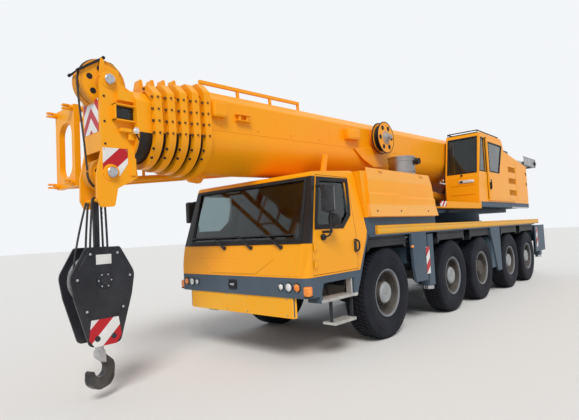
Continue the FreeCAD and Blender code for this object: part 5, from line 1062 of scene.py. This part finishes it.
bm = bmesh.new()
slab(bm, [(6.8005, -0.188, 2.940), (6.8005, 0.172, 2.940), (6.8005, 0.172, 3.312), (6.8005, -0.188, 3.312)],
     (0.003, 0, 0), edge=0.0008)
for y in (-0.168, 0.152):
    for z in (2.960, 3.292):
        stud(bm, (6.803, y, z), (0.004, 0, 0), 0.006, 8, index=1)
chevron_ground = weathered("chevron_ground", (0.80, 0.79, 0.78), (0.72, 0.71, 0.70), (0.3, 0.45), patch=6,
                           grain=140, dust=0.1)
chevron, tree, base_colour, under, place = recoloured(chevron_ground, "chevron_plate")
axes = wire(tree, "ShaderNodeSeparateXYZ", {"Vector": place["Object"]}).outputs
from_middle = maths(tree, "ABSOLUTE", maths(tree, "ADD", axes["Y"], 0.008))
climb = maths(tree, "ADD", axes["Z"], maths(tree, "MULTIPLY", from_middle, 1.15))
wave = maths(tree, "PINGPONG", maths(tree, "SUBTRACT", climb, 3.055), 0.125)
bands = maths(tree, "GREATER_THAN", wave, 0.066)
tree.links.new(mixed(tree, bands, under, (0.50, 0.03, 0.045, 1)), base_colour)
finished("head_chevron_plate", bm, "section_5", [chevron, ground_steel])
plate_white = (0.80, 0.79, 0.78)
plate_red = (0.50, 0.012, 0.02)
hazard_head = striped("hazard_head", plate_white, plate_red, (1.0, 0.0, 1.05), 0.20)
for side, outward in both_sides:
    bm = bmesh.new()
    side_plate(bm, outward * 0.2255, outward * 0.003, ((6.792, 2.755), (6.500, 2.765), (6.500, 2.600),
                                                       (6.600, 2.450), (6.792, 2.450)), edge=0.0008)
    for x, z in ((6.775, 2.74), (6.52, 2.745), (6.775, 2.47)):
        stud(bm, (x, outward * 0.228, z), (0, outward * 0.004, 0), 0.006, 8, index=1)
    finished(f"head_hazard_plate_{side}", bm, "section_5", [hazard_head, ground_steel])

# Hoist rope: steel wire laid over the head. It runs along the boom's top, round the upper
# sheave and down the head's face to the lower sheaves.
rope_dark = weathered("rope_dark", (0.035, 0.035, 0.037), (0.075, 0.072, 0.070), (0.45, 0.6), metallic=0.5,
                      patch=9, grain=200, bump=0.1)
bm = bmesh.new()
over_sheave = [(6.700 + 0.272 * math.sin(angle), 0.055, 3.520 + 0.272 * math.cos(angle))
               for angle in [math.radians(turn) for turn in range(-8, 97, 8)]]
pipe(bm, [boom(11.345, 0.055, 0.640), (6.52, 0.055, 3.775), *over_sheave, (6.962, 0.052, 3.30),
          (6.900, 0.045, 2.75), (6.882, 0.040, 2.52)], 0.011)
under_sheave = [(6.700 + 0.182 * math.cos(angle), 0.04, 2.484 - 0.182 * math.sin(angle))
                for angle in [math.radians(turn) for turn in range(-4, 60, 8)]]
pipe(bm, under_sheave, 0.011)
finished("head_rope", bm, "section_5", [rope_dark])
bm = bmesh.new()
pipe(bm,
     [boom(10.50, 0.055, 0.80), boom(10.0, 0.055, 0.748), boom(6.0, 0.055, 0.735), boom(0.3, 0.055, 0.735)],
     0.011)
for u in (1.5, 4.2, 7.0, 9.6):
    block(bm, (u - 0.05, -0.10, 0.712), (u + 0.05, 0.16, 0.722), edge=0.003, index=1, place=boom_place)
    for y in (0.0, 0.11):
        block(bm, (u - 0.02, y - 0.008, 0.720), (u + 0.02, y + 0.008, 0.765), edge=0.003, index=1,
              place=boom_place)
finished("boom_rope", bm, "boom", [rope_dark, yellow])

# Hook block: black cheek plates bolted over three rope sheaves, with a blank white data plate, a
# red and white lower plate with lifting holes, and the ropes and chain it hangs in.
block_black = weathered("block_black", (0.010, 0.011, 0.016), (0.024, 0.026, 0.034), (0.28, 0.44), patch=3,
                        dust=0.15)
blank_plate = weathered("blank_plate", (0.74, 0.74, 0.73), (0.62, 0.62, 0.61), (0.35, 0.5), patch=8, dust=0.1)
dress(block_black, "hook_block")
bm = bmesh.new()
block_x = 6.785
at_axle = Matrix.Translation((block_x, 0, 1.310))
for y in (-0.085, 0.0, 0.085):
    wound = []
    for lay_y in (y - 0.030, y - 0.010, y + 0.010):
        wound += [(lay_y, 0.268), (lay_y + 0.004, 0.281), (lay_y + 0.010, 0.285), (lay_y + 0.016, 0.281)]
    turned(bm, wound + [(y + 0.030, 0.268), (y + 0.030, 0.262), (y - 0.030, 0.262)], 44, at_axle)
for outward in (1, -1):
    cheek = ((-0.16, 1.645), (-0.318, 1.36), (-0.278, 1.15), (-0.155, 0.92), (0.155, 0.92), (0.278, 1.15),
             (0.318, 1.36), (0.16, 1.645))
    side_plate(bm, outward * 0.1595, outward * 0.006, [(block_x + x, z) for x, z in cheek], edge=0.003,
               index=1)
    cap_y = outward * 0.168
    turned(bm,
           [(cap_y, 0.0), (cap_y, 0.088), (cap_y + outward * 0.010, 0.084), (cap_y + outward * 0.014, 0.055),
            (cap_y + outward * 0.030, 0.050), (cap_y + outward * 0.034, 0.0)], 32, at_axle, index=1)
    bolt_circle(bm, at_axle, 6, 0.070, outward * 0.178, outward * 0.010, 0.010, index=2, edge=0.002)
    for x, z in ((-0.15, 1.60), (0.15, 1.60), (-0.29, 1.34), (0.29, 1.34), (-0.20, 1.00), (0.20, 1.00)):
        stud(bm, (block_x + x, outward * 0.164, z), (0, outward * 0.018, 0), 0.016, index=2, edge=0.003)
    label = ((-0.085, 1.485), (0.085, 1.485), (0.085, 1.590), (-0.085, 1.590))
    side_plate(bm, outward * 0.166, outward * 0.003, [(block_x + x, z) for x, z in label], edge=0.001,
               index=3)
finished("block_cheeks", bm, "hook_block",
         [rope_steel, block_black, ground_steel, blank_plate])
hazard_block = striped("hazard_block", plate_white, plate_red, (1.0, 1.0, 1.0), 0.16)
bm = bmesh.new()
for outward in (1, -1):
    plate = ((-0.150, 0.900), (-0.180, 0.70), (-0.12, 0.615), (0.12, 0.615), (0.180, 0.70), (0.150, 0.900))
    side_plate(bm, outward * 0.1600, outward * 0.005, [(block_x + x, z) for x, z in plate], edge=0.001)
    for x in (-0.09, 0.09):
        stud(bm, (block_x + x, outward * 0.164, 0.70), (0, outward * 0.006, 0), 0.030, 20, index=1,
             edge=0.002)
finished("block_hazard_plates", bm, "hook_block", [hazard_block, block_black])
bm = bmesh.new()
for y, tip_y in ((-0.055, -0.050), (0.055, 0.050)):
    for x, tip_x in ((-0.10, -0.085), (0.10, 0.060)):
        pipe(bm, [(block_x + x, y, 1.50), (block_x + x, y, 1.72), (block_x + tip_x, tip_y, 2.16)], 0.012)
pipe(bm, [(7.05, 0.02, 1.36), (7.045, 0.02, 1.62), (6.90, 0.03, 2.16)], 0.011)
for step in range(17):
    at_link = Matrix.Translation((6.66, -0.115, 1.640 + step * 0.030))
    at_link @= Matrix.Rotation(math.radians(90 * (step % 2)), 4, "Z")
    for start, end in (((-0.007, -0.013), (-0.007, 0.013)), ((0.007, -0.013), (0.007, 0.013)),
                       ((-0.0095, -0.013), (0.0095, -0.013)), ((-0.0095, 0.013), (0.0095, 0.013))):
        tube(bm, at_link @ Vector((start[0], 0, start[1])), at_link @ Vector((end[0], 0, end[1])), 0.0035, 6,
             index=1)
finished("block_ropes", bm, "hook_block", [rope_dark, ground_steel])

# Hook: one forged steel hook, dark from the forge, with its shank machined bright. The shank's nut
# turns in the block, and a sprung catch closes the mouth.
hook_forged = weathered("hook_forged", (0.030, 0.030, 0.034), (0.10, 0.095, 0.09), (0.3, 0.5), metallic=0.6,
                        patch=7, grain=120, bump=0.04, dust=0.15)
hook_paint = zone(hook_forged, "hook_shank_bright", (0.60, 0.60, 0.61), x=(6.72, 6.85), y=(-1, 0.07),
                  z=(0.40, 0.62))
dress(hook_paint, "hook")

# Tail guard: an open tray of pale steel sheet beside the winch, folded up at its edges and bolted
# to the housing and the winch arm, with a lamp and a camera on its outer corner.
tray_back, tray_front, tray_inside, tray_outside, tray_z = -6.93, -5.66, 0.545, 1.290, 3.400
bm = bmesh.new()
for low, high in (
    ((tray_back, tray_inside, tray_z), (tray_front, tray_outside, 3.412)),
    ((tray_back, 1.280, tray_z), (tray_front, tray_outside, 3.640)),
    ((tray_back, tray_inside, tray_z), (-6.92, tray_outside, 3.640)),
    ((tray_back, tray_inside, tray_z), (tray_front, 0.555, 3.560)),
    ((-6.94, 1.262, 3.640), (tray_front, 1.300, 3.662)),
    ((-6.945, tray_inside, 3.640), (-6.905, 1.300, 3.662)),
):
    block(bm, low, high, edge=0.003)
for x in (-6.90, -6.50, -6.10, -5.75):
    block(bm, (x - 0.018, 1.288, tray_z), (x + 0.018, 1.304, 3.660))
for x, y in ((-6.60, 0.80), (-6.2, 1.02), (-5.9, 0.75)):
    block(bm, (x - 0.13, y - 0.10, 3.410), (x + 0.13, y + 0.10, 3.560), edge=0.02, index=1, segments=2)
for y in (0.62, 1.22):
    tube(bm, (tray_front, y, 3.295), (-6.60, y, 3.392), 0.022, 14, index=1, edge=0.003)
tube(bm, (-6.80, 1.302, 3.52), (-6.80, 1.345, 3.52), 0.060, 28, index=1, edge=0.010)
tube(bm, (-6.80, 1.342, 3.52), (-6.80, 1.352, 3.52), 0.046, 28, index=2, edge=0.004)
tail_sheet = weathered("tail_sheet", (0.42, 0.43, 0.44), (0.30, 0.305, 0.31), (0.35, 0.5), metallic=0.35,
                       patch=2, dust=0.1)
finished("tail_guard", bm, "superstructure", [tail_sheet, black_paint, clear_lens])

# Seats: moulded foam under black woven cloth. Each cushion and back is crowned, pulled in between
# its corners and sewn along two channels, and it sits on the seat's steel base.
def cushion(name, body, sizes, place, crown):
    bm = bmesh.new()
    bmesh.ops.create_cube(bm, size=1)
    bmesh.ops.subdivide_edges(bm, edges=bm.edges, cuts=9, use_grid_fill=True)
    for vert in bm.verts:
        along, across, high = vert.co * 2
        swell = (1 - along ** 4) * (1 - across ** 4)
        channel = 0.55 if 0.5 < abs(across) < 0.7 else 1.0
        pull_x = 1 - 0.05 * (1 - across ** 2) * (1 - high ** 2)
        pull_y = 1 - 0.05 * (1 - along ** 2) * (1 - high ** 2)
        vert.co = Vector((along * pull_x * sizes[0] / 2, across * pull_y * sizes[1] / 2,
                          high * sizes[2] / 2 + (crown * swell * channel if high > 0.9 else 0)))
    for turn in range(3):
        bmesh.ops.smooth_vert(bm, verts=bm.verts, factor=0.5, use_axis_x=True, use_axis_y=True,
                              use_axis_z=True)
    bmesh.ops.transform(bm, verts=bm.verts, matrix=place)
    piece = finished(name, bm, body, [seat_cloth], crease=80)
    soft = piece.modifiers.new("Soft", "SUBSURF")
    soft.levels = soft.render_levels = 1


seat_cloth = weathered("seat_cloth", (0.030, 0.032, 0.040), (0.055, 0.057, 0.066), (0.8, 0.95), patch=9,
                       grain=320, bump=0.25)
seat_cloth.node_tree.nodes["Principled BSDF"].inputs["Sheen Weight"].default_value = 0.3
back_lean = Matrix.Rotation(math.radians(90 - 9.5), 4, "Y")
for name, body, seat_x, seat_y, seat_z in (
    ("driver_seat_left", "chassis", 4.105, 0.620, 1.514),
    ("driver_seat_right", "chassis", 4.105, -0.620, 1.514),
    ("crane_seat", "superstructure", -2.800, 0.9275, 2.652),
):
    cushion(f"{name}_cushion", body, (0.560, 0.512, 0.150),
            Matrix.Translation((seat_x, seat_y, seat_z + 0.004)),
            0.026)
    cushion(f"{name}_back", body, (0.800, 0.508, 0.140),
            Matrix.Translation((seat_x - 0.250, seat_y, seat_z + 0.390)) @ back_lean, 0.024)
